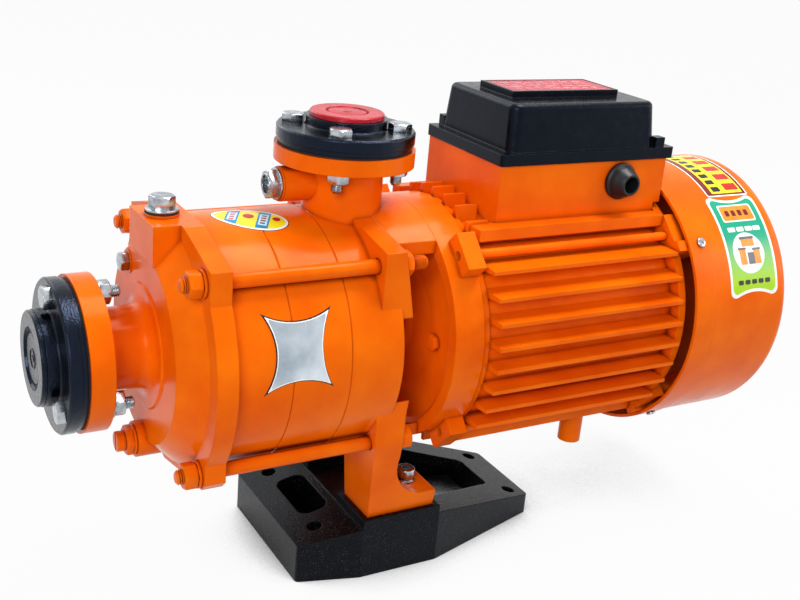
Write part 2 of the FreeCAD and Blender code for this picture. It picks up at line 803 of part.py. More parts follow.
def make_stage_casing(number):
    """A ring with a partition at its rear, whose bore is the eye of the next impeller."""
    front = JOINTS[number]
    rear = JOINTS[number - 1]
    chamfer = D.joint_chamfer
    groove_low = D.casing_bore + 1.2
    groove_high = groove_low + 3.6
    turned(f"stage_casing_{3 - number}", [
        (front, D.casing_bore), (front, groove_low), (front + 3.5, groove_low), (front + 3.5, groove_high),
        (front, groove_high), (front, D.casing_radius - chamfer), (front + chamfer, D.casing_radius),
        (rear - chamfer, D.casing_radius), (rear, D.casing_radius - chamfer), (rear, D.eye_bore),
        (rear - D.partition, D.eye_bore), (rear - D.partition, D.casing_bore)])


def make_casing_seals():
    seals = []
    for front in JOINTS[1:]:
        ring = doc.addObject("Part::Torus", "seal")
        bind(ring, "Radius1", D.casing_bore + 3)
        bind(ring, "Radius2", as_size(1.7))
        place(ring, UPRIGHT["+x"], front + 1.75, 0, D.shaft_height)
        seals.append(ring)
    group("casing_seal_rings", seals)


def vane_outline(sketch, inner, outer, sweep, thickness_angle):
    """One curved blade between two radii, swept back by an angle."""
    bow = outer * 0.75
    outline(sketch, [
        (inner, 0, bow),
        (outer * cosine(sweep), outer * sine(sweep)),
        (outer * cosine(sweep + thickness_angle), outer * sine(sweep + thickness_angle), -bow),
        (inner * cosine(3 * thickness_angle), inner * sine(3 * thickness_angle))])
    return sketch


def make_impeller(number):
    front = JOINTS[3 - number]
    body = new_body(f"impeller_{number}", x=front)
    turn(body, [(4, D.shaft_thin + D.fit), (4, D.hub_radius), (15, D.hub_radius + 2),
                (17, D.impeller_radius), (19.5, D.impeller_radius), (19.5, D.hub_radius),
                (22, D.hub_radius), (22, D.shaft_thin + D.fit)])
    blade = vane_outline(start_sketch(body, "YZ", 4), D.impeller_eye + 1, D.impeller_radius - 0.5, 55, 3)
    polar(body, pad(body, blade, as_size(14)), 6)
    turn(body, [(-7, D.impeller_eye), (-7, D.impeller_nose), (3, D.impeller_nose),
                (3, D.impeller_radius), (5.5, D.impeller_radius), (5.5, D.impeller_eye)])


def make_diffuser(number):
    front = JOINTS[3 - number]
    body = new_body(f"diffuser_{number}", x=front)
    rear = D.stage_pitch - D.partition - D.seat
    turn(body, [(24, D.spacer_radius + D.free), (24, D.diffuser_radius), (27, D.diffuser_radius),
                (27, D.spacer_radius + 8), (32, D.spacer_radius + 8), (32, D.spacer_radius + D.free)])
    blade = vane_outline(start_sketch(body, "YZ", 25), D.eye_bore + 5, D.casing_bore - D.free, 50, 2.5)
    polar(body, pad(body, blade, rear - 25), 7)


def make_shaft_parts():
    spacers = []
    for number in (1, 2):
        at = [JOINTS[3 - number] + 22, as_size(0), D.shaft_height]
        spacers.append(washer(at, "+x", D.spacer_radius, D.stage_pitch - 18, D.shaft_thin + D.fit))
    group("impeller_spacers", spacers)
    hub_front = JOINTS[2] + 4
    at = [hub_front, as_size(0), D.shaft_height]
    node(nut(at, "-x", as_size(19), as_size(9), D.shaft_thin - 1 + D.fit), "impeller_lock_nut")
    key = doc.addObject("Part::Box", "impeller_key")
    for name, size in (("Length", 2 * D.stage_pitch + 18), ("Width", as_size(4)), ("Height", as_size(2.2))):
        bind(key, name, size)
    place(key, Rotation(), hub_front, -2, D.shaft_height + D.shaft_thin - 2.5)
    node(key, "impeller_key")


def shaft_profile():
    front = JOINTS[2] + 4
    core_front = D.stator_ahead - 10
    core_rear = D.stator_ahead + D.stator_length + 10
    front_seat = D.front_bearing_behind + D.bearing_width
    return [
        (front - 13, 0), (front - 13, D.shaft_thin - 1), (front, D.shaft_thin - 1), (front, D.shaft_thin),
        (JOINTS[0] + 22, D.shaft_thin), (JOINTS[0] + 22, D.shaft_seal),
        (front_seat, D.shaft_seal), (front_seat, D.shaft_seal + 3), (core_front, D.shaft_seal + 3),
        (core_front, D.shaft_seal + 5), (core_rear, D.shaft_seal + 5), (core_rear, D.shaft_seal + 3),
        (D.rear_bearing_behind, D.shaft_seal + 3), (D.rear_bearing_behind, D.shaft_seal),
        (D.rear_bearing_behind + D.bearing_width, D.shaft_seal),
        (D.rear_bearing_behind + D.bearing_width, D.shaft_seal - 1.5),
        (D.cowl_end_behind - 46, D.shaft_seal - 1.5), (D.cowl_end_behind - 46, 0)]


def make_shaft():
    body = turned("shaft", shaft_profile())
    keyway = rectangle(start_sketch(body, "XY", D.shaft_thin - 2.6), JOINTS[2] + 3, JOINTS[0] + 22,
                       -2.05, 2.05)
    pocket(body, keyway, as_size(4))


def make_shaft_seal():
    """The face that the metal bellows presses turns with the shaft and runs on the seat in the wall."""
    seat_rear = LUG_REAR + 4 - D.seat
    seat_front = LUG_REAR - 5
    turned("seal_seat", [(seat_front, D.shaft_seal + 1), (seat_front, D.shaft_seal + 8),
                         (seat_front + 3, D.shaft_seal + 8), (seat_front + 3, D.shaft_seal + 11 - D.fit),
                         (seat_rear, D.shaft_seal + 11 - D.fit), (seat_rear, D.shaft_seal + 1)])
    face = seat_front - D.seat
    back = JOINTS[0] + 24
    turned("seal_rotary_head", [
        (face, D.shaft_seal + D.fit), (face, D.shaft_seal + 6), (face - 5, D.shaft_seal + 6),
        (face - 5, D.shaft_seal + 2), (back + 2, D.shaft_seal + 2), (back + 2, D.shaft_seal + 8),
        (back, D.shaft_seal + 8), (back, D.shaft_seal + D.fit)])
    start = back + 2
    step = (face - 5 - start) / 10
    folds = [4, 7] * 5 + [4]
    outside = [(start + step * k, D.shaft_seal + fold) for k, fold in enumerate(folds)]
    inside = [(station, radius - 1) for station, radius in reversed(outside)]
    turned("seal_bellows", outside + inside)
    turned("slinger_ring", [
        (D.gland_behind + 2, D.shaft_seal + D.fit), (D.gland_behind + 2, D.shaft_seal + 4),
        (D.gland_behind + 3, D.shaft_seal + 12), (D.gland_behind + 4.5, D.shaft_seal + 12),
        (D.gland_behind + 4.5, D.shaft_seal + D.fit)])


# Suction cover with the inlet nozzle, the priming block and its plugs

def make_suction_cover():
    body = new_body("suction_cover")
    bulge = root(D.cover_radius * D.cover_radius - D.cover_lug_half * D.cover_lug_half)
    drop = 0.6 * D.cover_radius
    plate = outline(start_sketch(body, "YZ", COVER_FRONT), [
        (D.cover_lug_half, -bulge, D.cover_radius), (D.cover_lug_half, bulge),
        (D.cover_lug_half, D.cover_lug_top), (D.cover_shoulder_half, D.cover_top),
        (-D.cover_shoulder_half, D.cover_top), (-D.cover_lug_half, D.cover_lug_top),
        (-D.cover_lug_half, bulge, D.cover_radius), (-D.cover_lug_half, -bulge),
        (-D.cover_lug_half, -D.cover_lug_bottom), (7 - D.cover_lug_half, -D.cover_lug_bottom - 7),
        (-drop, -D.cover_lug_bottom - 9), (0, -D.cover_top + 2),
        (drop, -D.cover_lug_bottom - 9), (D.cover_lug_half - 7, -D.cover_lug_bottom - 7),
        (D.cover_lug_half, -D.cover_lug_bottom)])
    pad(body, plate, D.cover_plate)
    neck = D.suction_neck
    turn(body, [
        (SUCTION_FACE, 0), (SUCTION_FACE, D.flange_radius), (SUCTION_FACE + D.suction_flange, D.flange_radius),
        (SUCTION_FACE + D.suction_flange, neck), (CONE_FRONT - 11.5, neck, 10),
        (CONE_FRONT - 1.5, neck + 10), (CONE_FRONT - 1.5, neck + 17), (CONE_FRONT, neck + 18.5),
        (CONE_FRONT, D.cone_radius - D.cone_length), (COVER_FRONT, D.cone_radius), (COVER_FRONT, 0)])
    block = rectangle(start_sketch(body, "XY", 0.7 * D.cover_top), -D.priming_front, COVER_FRONT + 4,
                      -D.priming_half, D.priming_half)
    pad(body, block, 0.3 * D.cover_top)
    mouth = circle(start_sketch(body, "XY", D.cover_top), -D.priming_ahead, 0, as_size(13.5))
    pad(body, mouth, as_size(2.5))
    drain = circle(start_sketch(body, "YZ", CONE_FRONT - 7), 0, -D.drain_drop, as_size(15))
    pad(body, drain, D.cone_length + 7)
    vent = circle(start_sketch(body, "YZ", CONE_FRONT - 1), D.vent_side, D.vent_height, as_size(10))
    pad(body, vent, as_size(6))
    wall = D.cover_wall
    turn(body, [
        (SUCTION_FACE, 0), (SUCTION_FACE, D.port_bore), (CONE_FRONT + 3, D.port_bore),
        (CONE_FRONT + wall, D.cone_radius - D.cone_length - wall), (COVER_FRONT + 1, D.cone_radius - 13.5),
        (COVER_REAR - D.cover_wall - 1.5, D.cone_radius - 13.5), (COVER_REAR - D.cover_wall - 1.5, D.eye_bore),
        (COVER_REAR, D.eye_bore), (COVER_REAR, 0)], "Groove")
    ports = start_sketch(body, "XY", D.cover_top - 30)
    circle(ports, -D.priming_ahead, 0, as_size(9))
    pocket(body, ports, as_size(40))
    plugs = start_sketch(body, "YZ", CONE_FRONT - 8)
    circle(plugs, 0, -D.drain_drop, as_size(8))
    circle(plugs, D.vent_side, D.vent_height, as_size(5))
    pocket(body, plugs, as_size(30))
    rods = start_sketch(body, "YZ", COVER_FRONT)
    for across, up in ROD_CORNERS:
        circle(rods, across, up, D.rod_radius + 0.5)
    pocket(body, rods, D.cover_plate)
    bolts = start_sketch(body, "YZ", SUCTION_FACE)
    for across, up in round_positions(D.suction_bolt_circle, D.suction_bolt_angle, 3):
        circle(bolts, across, up, D.port_bolt_radius + 0.5)
    pocket(body, bolts, D.suction_flange)


def make_suction_flange_parts():
    places = round_positions(D.suction_bolt_circle, D.suction_bolt_angle, 3)
    make_companion("suction", "-x", SUCTION_FACE, D.shaft_height, D.flange_radius - 1.2,
                   D.companion_hub, D.companion_hub_radius, D.pipe_thread,
                   [(-across, up) for across, up in places], D.companion_hub_radius - 0.5,
                   D.suction_plug_groove)
    bolts = []
    nuts = []
    thick = as_size(2.5)
    back = SUCTION_FACE + D.suction_flange
    for across, up in places:
        at = [SUCTION_COMPANION - D.companion, across, D.shaft_height + up]
        grip = D.companion + D.gasket + D.suction_flange
        bolts.append(hexagon_bolt(at, "-x", 3.4 * D.port_bolt_radius, 1.3 * D.port_bolt_radius,
                                  D.port_bolt_radius, grip + 19))
        nuts.append(washer([back, at[1], at[2]], "+x", 2 * D.port_bolt_radius, thick,
                           D.port_bolt_radius + D.fit))
        nuts.append(nut([back + thick, at[1], at[2]], "+x", 3.4 * D.port_bolt_radius,
                        1.7 * D.port_bolt_radius, D.port_bolt_radius + D.fit))
    group("suction_flange_bolts", bolts)
    group("suction_flange_nuts", nuts)


def make_plugs():
    mouth = [-D.priming_ahead, as_size(0), D.shaft_height + D.cover_top + 2.5]
    ring = washer(mouth, "+z", as_size(13.3), as_size(1.5), as_size(9 + 0.4))
    node(ring, "priming_plug_washer")
    head = along(mouth, "+z", 1.5 + D.seat)
    node(joined([
        solid("cylinder", head, "+z", as_size(0), as_size(2), as_size(13)),
        solid("hexagon", head, "+z", as_size(2), as_size(10), as_size(9)),
        solid("cylinder", head, "-z", as_size(0), as_size(16), as_size(9) - D.free)]), "priming_plug")
    vent = [CONE_FRONT - 1 - D.seat, D.vent_side, D.shaft_height + D.vent_height]
    node(joined([
        solid("hexagon", vent, "-x", as_size(0), as_size(7), as_size(7)),
        solid("cylinder", vent, "+x", as_size(0), as_size(8), as_size(5) - D.free)]), "vent_plug")
    drain = [CONE_FRONT - 7 - D.seat, as_size(0), D.shaft_height - D.drain_drop]
    node(joined([
        solid("cylinder", drain, "-x", as_size(0), as_size(2), as_size(13)),
        solid("hexagon", drain, "-x", as_size(2), as_size(6), as_size(11)),
        solid("cylinder", drain, "-x", as_size(8), as_size(7), as_size(8.5)),
        solid("cylinder", drain, "+x", as_size(0), as_size(14), as_size(8) - D.free)]), "drain_plug")
    side = [-D.side_port_ahead, as_size(0), D.shaft_height + D.side_port_height]
    node(washer(side, "-x", D.side_port_radius - 0.5, as_size(1.5), as_size(8.4)), "side_port_washer")
    head = along(side, "-x", 1.5 + D.seat)
    plug = joined([
        solid("cylinder", head, "-x", as_size(0), as_size(2), as_size(13.2)),
        solid("hexagon", head, "-x", as_size(2), as_size(7.5), as_size(11)),
        solid("cylinder", head, "+x", as_size(0), as_size(14), as_size(8) - D.free)])
    node(drilled(plug, solid("cylinder", head, "-x", as_size(3.5), as_size(8), as_size(7.5))),
         "side_port_plug")
    rear = [LUG_REAR + D.seat, as_size(-65), D.shaft_height - 65]
    node(joined([
        solid("cylinder", rear, "+x", as_size(0), as_size(2), as_size(7.6)),
        solid("hexagon", rear, "+x", as_size(2), as_size(8), as_size(6.5))]), "casing_drain_plug")


def make_tie_rods():
    rods = []
    nuts = []
    washers = []
    for across, up in ROD_CORNERS:
        at = [-D.rod_front_ahead, across, D.shaft_height + up]
        rods.append(solid("cylinder", at, "+x", as_size(0), D.rod_front_ahead - D.rod_rear_ahead, D.rod_radius))
        washers.append(washer([COVER_FRONT, at[1], at[2]], "-x", D.rod_nut_flats / 2 + 1.7,
                              D.rod_washer, D.rod_radius + 0.2))
        front_seat = COVER_FRONT - D.rod_washer
        rear_seat = LUG_REAR if up.value > 0 else -D.leg_rear_ahead
        nuts.append(nut([front_seat, at[1], at[2]], "-x", D.rod_nut_flats, D.rod_nut_height,
                        D.rod_radius + D.fit))
        nuts.append(nut([rear_seat, at[1], at[2]], "+x", D.rod_nut_flats, D.rod_nut_height,
                        D.rod_radius + D.fit))
    group("tie_rods", rods)
    group("tie_rod_nuts", nuts)
    group("tie_rod_washers", washers)


# Motor

def lug_outline(sketch, inner):
    """Four square lugs at 45 degrees between a radius and the flat outer faces."""
    for angle in QUARTERS:
        radial = (cosine(angle), sine(angle))
        across = (-sine(angle), cosine(angle))
        points = []
        for reach, side in ((inner, -1), (D.motor_lug_radius, -1), (D.motor_lug_radius, 1), (inner, 1)):
            points.append(tuple(reach * radial[k] + side * D.motor_lug_half * across[k] for k in (0, 1)))
        outline(sketch, points)
    return sketch


def bolt_circle(sketch, circle_radius, angle, radius):
    for across, up in round_positions(circle_radius, angle, 4):
        circle(sketch, across, up, radius)
    return sketch


def make_front_shield():
    body = new_body("motor_front_shield")
    front = D.lantern_behind
    rear = D.ring_behind
    bearing = D.front_bearing_behind
    turn(body, [
        (front, D.ring_radius - 11), (front, D.ring_radius), (rear, D.ring_radius),
        (rear, D.frame_bore - D.fit), (rear + 5, D.frame_bore - D.fit), (rear + 5, D.frame_bore - 7),
        (rear - 11, D.frame_bore - 7), (bearing + 6, 60), (bearing + D.bearing_width + 2, 36),
        (bearing + D.bearing_width + 2, D.bearing_outer + D.fit), (bearing - D.seat, D.bearing_outer + D.fit),
        (bearing - D.seat, D.shaft_seal + 3), (bearing - 12, D.shaft_seal + 3), (bearing - 12, 30),
        (bearing - 8, 36), (bearing - 4, 60), (bearing - 4, D.ring_radius - 16)])
    pad(body, lug_outline(start_sketch(body, "YZ", front + 11), D.ring_radius - 8), rear - front - 11)
    bosses = bolt_circle(start_sketch(body, "YZ", bearing + 2), D.shield_bolt_circle, 0, as_size(9))
    pad(body, bosses, as_size(12))
    pocket(body, bolt_circle(start_sketch(body, "YZ", front), D.motor_bolt_circle, 45,
                             D.motor_bolt_radius + D.fit), rear)
    pocket(body, bolt_circle(start_sketch(body, "YZ", front), D.shield_bolt_circle, 0,
                             as_size(4) + D.fit), rear - front - 10)
    bolts = []
    for across, up in round_positions(D.shield_bolt_circle, as_size(0), 4):
        bolts.append(hexagon_bolt([bearing - 4, across, D.shaft_height + up], "-x", as_size(13),
                                  as_size(5.5), as_size(4), as_size(11)))
    group("front_shield_bolts", bolts)


def fin(sketch, level, side, upright, tip_radius=None):
    """A tapered fin at one level, from inside the frame wall to the tip circle."""
    tip_radius = tip_radius or D.fin_tip_radius
    start = root(combined(101 * 101, "-", level * level))
    tip = root(tip_radius * tip_radius - level * level)
    points = []
    for reach, half in ((start, -D.fin_root / 2), (tip, -D.fin_edge / 2), (tip, D.fin_edge / 2),
                        (start, D.fin_root / 2)):
        pair = (side * reach, level + half)
        points.append((pair[1], pair[0]) if upright else pair)
    outline(sketch, points)


def make_motor_frame():
    body = new_body("motor_frame")
    turn(body, [(D.ring_behind, 0), (D.ring_behind, D.ring_radius - 1.5),
                (D.fin_start_behind, D.ring_radius - 1.5), (D.fin_start_behind, D.frame_radius),
                (D.frame_behind, D.frame_radius), (D.frame_behind, 0)])
    box = start_sketch(body, "XY", D.frame_bore - 12)
    rectangle(box, D.box_front_behind, D.frame_behind, -D.box_half_width, D.box_half_width)
    pad(body, box, D.box_top - D.frame_bore + 12)
    overhang = start_sketch(body, "XY", D.frame_radius + 1.5)
    rectangle(overhang, D.frame_behind - 8, D.box_rear_behind, -D.box_half_width, D.box_half_width)
    pad(body, overhang, D.box_top - D.frame_radius - 1.5)
    fins = start_sketch(body, "YZ", D.fin_start_behind)
    for step in (-3.5, -2.5, -1.5, -0.5, 0.5, 1.5, 2.5, 3.5):
        for side in (-1, 1):
            fin(fins, step * D.fin_pitch, side, False)
    for step in (-2, -1, 0, 1, 2):
        fin(fins, step * D.top_fin_pitch, -1, True)
    for side in (-1, 1):
        for level, reach in ((D.rail_top, D.rail_outer), (-D.rail_drop, D.rail_outer - 3)):
            inward = -10 if level.value > 0 else 10
            outline(fins, [(side * (D.rail_inner - 4), level + 2 * inward), (side * reach, level + inward),
                           (side * reach, level), (side * (D.rail_inner - 4), level)])
    pad(body, fins, D.frame_behind - D.fin_start_behind)
    tops = start_sketch(body, "YZ", D.fin_start_behind - 3)
    for step in (-3, -2, -1, 0, 1, 2, 3):
        fin(tops, step * D.top_fin_pitch, 1, True, D.top_fin_tip_radius)
    pad(body, tops, D.top_fin_length)
    stubs = start_sketch(body, "XY", -D.rail_drop - 38)
    for side in (-1, 1):
        circle(stubs, 208, side * 44, as_size(11))
    pad(body, stubs, as_size(50))
    turn(body, [(D.ring_behind, 0), (D.ring_behind, D.frame_bore), (D.box_rear_behind + 1, D.frame_bore),
                (D.box_rear_behind + 1, 0)], "Groove")
    hollow = start_sketch(body, "XY", D.box_floor)
    rectangle(hollow, D.box_front_behind + D.box_wall, D.box_rear_behind - D.box_wall,
              D.box_wall - D.box_half_width, D.box_half_width - D.box_wall)
    pocket(body, hollow, D.box_top - D.box_floor)
    leads = circle(start_sketch(body, "XY", D.frame_bore - 12), D.box_front_behind + 22, 0, as_size(10))
    pocket(body, leads, as_size(30))
    inlet = circle(start_sketch(body, "XZ", D.box_half_width - D.box_wall - 1), D.inlet_behind,
                   D.inlet_height, D.inlet_bore + 4)
    pocket(body, inlet, D.box_wall + 2)


def make_motor_core():
    core_rear = D.stator_ahead + D.stator_length
    turned("stator_core", [(D.stator_ahead, D.stator_bore), (D.stator_ahead, D.frame_bore - D.fit),
                           (core_rear, D.frame_bore - D.fit), (core_rear, D.stator_bore)])
    coils = []
    for station in (D.stator_ahead - 24.2, core_rear + 0.2):
        at = [station, as_size(0), D.shaft_height]
        coils.append(washer(at, "+x", D.frame_bore - 12, as_size(24), D.stator_bore + 4))
    group("stator_windings", coils)
    rotor_radius = D.stator_bore - D.air_gap
    turned("rotor_core", [(D.stator_ahead - 4, D.shaft_seal + 5 + D.fit), (D.stator_ahead - 4, rotor_radius - 6),
                          (D.stator_ahead, rotor_radius - 6), (D.stator_ahead, rotor_radius),
                          (core_rear, rotor_radius), (core_rear, rotor_radius - 6),
                          (core_rear + 4, rotor_radius - 6), (core_rear + 4, D.shaft_seal + 5 + D.fit)])


def make_bearings():
    middle = (D.bearing_outer + D.bearing_inner) / 2
    ball = 0.26 * (D.bearing_outer - D.bearing_inner)
    outer = new_body("bearing_outer_rings")
    inner = new_body("bearing_inner_rings")
    for station in (D.front_bearing_behind, D.rear_bearing_behind):
        centre = station + D.bearing_width / 2
        far = station + D.bearing_width
        gap = ball + D.fit
        low = middle - 0.5 * ball
        high = middle + 0.5 * ball
        turn(outer, [(station, high), (station, D.bearing_outer), (far, D.bearing_outer), (far, high),
                     (centre + 0.9 * ball, high, gap), (centre - 0.9 * ball, high)])
        turn(inner, [(station, D.bearing_inner + D.fit), (far, D.bearing_inner + D.fit), (far, low),
                     (centre + 0.9 * ball, low, -gap), (centre - 0.9 * ball, low), (station, low)])
    balls = []
    for station in (D.front_bearing_behind, D.rear_bearing_behind):
        for across, up in round_positions(middle, as_size(0), 8):
            item = doc.addObject("Part::Sphere", "ball")
            bind(item, "Radius", ball)
            place(item, Rotation(), station + D.bearing_width / 2, across, D.shaft_height + up)
            balls.append(item)
    group("bearing_balls", balls)


def make_rear_shield():
    body = new_body("motor_rear_shield")
    front = D.frame_behind
    bearing = D.rear_bearing_behind
    far = bearing + D.bearing_width
    turn(body, [
        (front, D.frame_bore), (front, D.rear_rim_radius), (front + 8, D.rear_rim_radius),
        (front + 12, D.frame_radius), (front + 12, D.frame_bore - 4), (front + 8, 60), (far + 2, 34), (far + 4, 30),
        (far + 4, D.shaft_seal + 3), (far + D.seat, D.shaft_seal + 3), (far + D.seat, D.bearing_outer + D.fit),
        (bearing - 3, D.bearing_outer + D.fit), (bearing - 3, 34), (front, 60), (front - 5, 60),
        (front - 5, D.frame_bore - D.fit), (front, D.frame_bore - D.fit)])
    under_box = rectangle(start_sketch(body, "YZ", front - 1), -D.box_half_width, D.box_half_width,
                          D.frame_radius + 1.3, D.rear_rim_radius + 1)
    pocket(body, under_box, as_size(10))
    pad(body, lug_outline(start_sketch(body, "YZ", front + 0.1), D.frame_bore + 2), as_size(18))
    pocket(body, bolt_circle(start_sketch(body, "YZ", front - 1), D.motor_bolt_circle, 45,
                             D.motor_bolt_radius + D.fit), as_size(25))
    angle = D.cowl_screw_angle
    arms = start_sketch(body, "YZ", front + 0.1)
    arms.AttachmentOffset = Placement(Vector(), Rotation(Vector(0, 0, 1), 1))
    bind(arms, "AttachmentOffset.Rotation.Angle", angle)
    rectangle(arms, D.frame_bore + 2, D.cowl_radius - D.sheet - D.seat, -5, 5)
    polar(body, pad(body, arms, as_size(30)), 4)
    hole = start_sketch(body, "XY")
    hole.AttachmentOffset = Placement(Vector(), Rotation(Vector(1, 0, 0), 1))
    bind(hole, "AttachmentOffset.Base.y", D.frame_bore * cosine(angle))
    bind(hole, "AttachmentOffset.Base.z", D.frame_bore * sine(angle))
    bind(hole, "AttachmentOffset.Rotation.Angle", angle - 90)
    circle(hole, D.cowl_behind + 14, 0, as_size(2) + D.fit)
    polar(body, pocket(body, hole, as_size(40)), 4)
    bolts = []
    for across, up in round_positions(D.motor_bolt_circle, as_size(45), 4):
        at = [front + 18.1, across, D.shaft_height + up]
        bolts.append(hexagon_bolt(at, "+x", as_size(13), as_size(5.5), D.motor_bolt_radius,
                                  front + 18.1 - D.lantern_behind - 14))
    group("motor_through_bolts", bolts)


def make_fan():
    body = new_body("fan")
    hub = D.shaft_seal - 1.5
    rear = D.cowl_end_behind - 48
    turn(body, [(rear - 26, hub + D.fit), (rear - 26, 20), (rear - 22, 20), (rear - 22, D.fan_radius - 12),
                (rear - 19.5, D.fan_radius - 12), (rear - 19.5, 20), (rear, 18), (rear, hub + D.fit)])
    blade = rectangle(start_sketch(body, "YZ", rear - 21), 16, D.fan_radius, -1.4, 1.4)
    polar(body, pad(body, blade, as_size(32)), 8)


def make_fan_cover():
    body = new_body("fan_cover")
    front = D.cowl_behind
    bead = front + D.cowl_rim_length
    rear = D.cowl_end_behind
    corner = D.cowl_corner
    skin = D.sheet
    turn(body, [
        (front, D.cowl_radius - skin), (front, D.cowl_rim_radius), (bead, D.cowl_rim_radius),
        (bead + 1.3, D.cowl_radius), (rear - corner, D.cowl_radius, -corner),
        (rear, D.cowl_radius - corner), (rear, 0), (rear - skin, 0),
        (rear - skin, D.cowl_radius - corner, corner - skin),
        (rear - corner, D.cowl_radius - skin)])
    slots = start_sketch(body, "YZ", rear - skin)
    rectangle(slots, 34, 64, -2.6, 2.6)
    rectangle(slots, 74, 106, -4, 4)
    polar(body, pocket(body, slots, skin), 20)
    hole = start_sketch(body, "XY")
    hole.AttachmentOffset = Placement(Vector(), Rotation(Vector(1, 0, 0), 1))
    bind(hole, "AttachmentOffset.Rotation.Angle", D.cowl_screw_angle - 90)
    circle(hole, front + 14, 0, as_size(2) + D.fit)
    polar(body, pocket(body, hole, D.cowl_rim_radius + 5), 4)
    whole = []
    screws = []
    for quarter in (0, 90, 180, 270):
        angle = D.cowl_screw_angle + quarter
        for start, length, radius in ((D.cowl_rim_radius, 2.2, 4.5), (D.cowl_rim_radius - 6.5, 7.5, 2)):
            item = solid("cylinder", [as_size(0)] * 3, "+z", as_size(0), as_size(length), as_size(radius))
            item.Placement = Placement(Vector(), Rotation(Vector(1, 0, 0), 10))
            bind(item, "Placement.Base.x", front + 14)
            bind(item, "Placement.Base.y", start * cosine(angle))
            bind(item, "Placement.Base.z", D.shaft_height + start * sine(angle))
            bind(item, "Placement.Rotation.Angle", angle - 90)
            screws.append(item)
        whole.append(joined(screws[-2:]))
    group("fan_cover_screws", whole)


# Terminal box

def make_lid():
    body = new_body("terminal_cover")
    base = D.box_top + D.seat
    rim = start_sketch(body, "XY", base)
    rectangle(rim, D.rim_front_behind, D.rim_rear_behind, -D.rim_half_width, D.rim_half_width)
    pad(body, rim, D.rim_height)
    rounded(body, as_size(2.5), lambda edge, p: is_upright(edge))
    low = start_sketch(body, "XY", base + D.rim_height)
    rectangle(low, D.lid_front_behind, D.lid_rear_behind, -D.lid_half_width, D.lid_half_width)
    high = start_sketch(body, "XY", base + D.rim_height + D.lid_height)
    rectangle(high, D.lid_front_behind + D.lid_taper / 2, D.lid_rear_behind - D.lid_taper,
              D.lid_taper - D.lid_half_width, D.lid_half_width - D.lid_taper)
    loft(body, low, high)
    level = (base + D.rim_height).value
    rounded(body, D.lid_corner, lambda edge, p: len(edge.Vertexes) == 2 and p.z > level + 1
            and abs(edge.Vertexes[0].Z - edge.Vertexes[1].Z) > 5)
    top = (base + D.rim_height + D.lid_height).value
    rounded(body, as_size(5), lambda edge, p: near(p.z, top))
    frame = start_sketch(body, "XY", base + D.rim_height + D.lid_height - 1)
    rectangle(frame, D.lid_front_behind + 18, D.lid_rear_behind - 27, -25.5, 25.5)
    pad(body, frame, D.frame_height + 1)
    blocks = start_sketch(body, "XY", base + D.rim_height)
    rectangle(blocks, D.rim_front_behind + 11, D.rim_front_behind + 20, D.rim_half_width - 10,
              D.rim_half_width - 1)
    rectangle(blocks, D.rim_rear_behind - 22, D.rim_rear_behind - 12, 1 - D.rim_half_width,
              10 - D.rim_half_width)
    pad(body, blocks, as_size(9))
    inside = start_sketch(body, "XY", base)
    wall = D.lid_wall
    rectangle(inside, D.lid_front_behind + wall + 2, D.lid_rear_behind - wall - D.lid_taper,
              wall + D.lid_taper - D.lid_half_width, D.lid_half_width - wall - D.lid_taper)
    pocket(body, inside, D.rim_height + D.lid_height - wall - 3)
    panel = start_sketch(body, "XY", base + D.rim_height + D.lid_height + D.frame_height)
    rectangle(panel, D.lid_front_behind + 21, D.lid_rear_behind - 30, -22.5, 22.5)
    pocket(body, panel, as_size(1), onward=False)
    plate = new_body("lid_label_plate")
    level = base + D.rim_height + D.lid_height + D.frame_height - 1
    shape = start_sketch(plate, "XY", level)
    rectangle(shape, D.lid_front_behind + 21.2, D.lid_rear_behind - 30.2, -22.3, 22.3)
    pad(plate, shape, as_size(0.8))


def make_box_contents():
    turned("cable_grommet", [
        (-D.box_wall - 2.5, D.inlet_bore), (-D.box_wall - 2.5, D.inlet_bore + 6.5),
        (-D.box_wall - D.seat, D.inlet_bore + 6.5), (-D.box_wall - D.seat, D.inlet_bore + 4 - D.fit),
        (D.seat, D.inlet_bore + 4 - D.fit), (D.seat, D.inlet_bore + 9), (3.2, D.inlet_bore + 9),
        (4.5, D.inlet_bore + 7.4), (8.5, D.inlet_bore + 6.2), (15.5, D.inlet_bore + 2.8),
        (17, D.inlet_bore + 1.8), (17, D.inlet_bore)],
        "-y", D.inlet_behind, -D.box_half_width, D.shaft_height + D.inlet_height)
    floor = D.shaft_height + D.box_floor + D.seat
    block = doc.addObject("Part::Box", "block")
    for name, number in (("Length", 60), ("Width", 30), ("Height", 14)):
        bind(block, name, as_size(number))
    place(block, Rotation(), D.box_front_behind + 50, -38, floor)
    studs = [solid("cylinder", [D.box_front_behind + 62 + 18 * k, as_size(across), floor], "+z",
                   as_size(13), as_size(9), as_size(2.5)) for k in range(3) for across in (-31, -15)]
    node(joined([block] + studs), "terminal_block")
    at = [D.box_front_behind + 60, as_size(26), floor + 18]
    node(joined([solid("cylinder", at, "+x", as_size(0), as_size(82), as_size(18)),
                 solid("cylinder", at, "-x", as_size(-1), as_size(5), as_size(15))]), "run_capacitor")


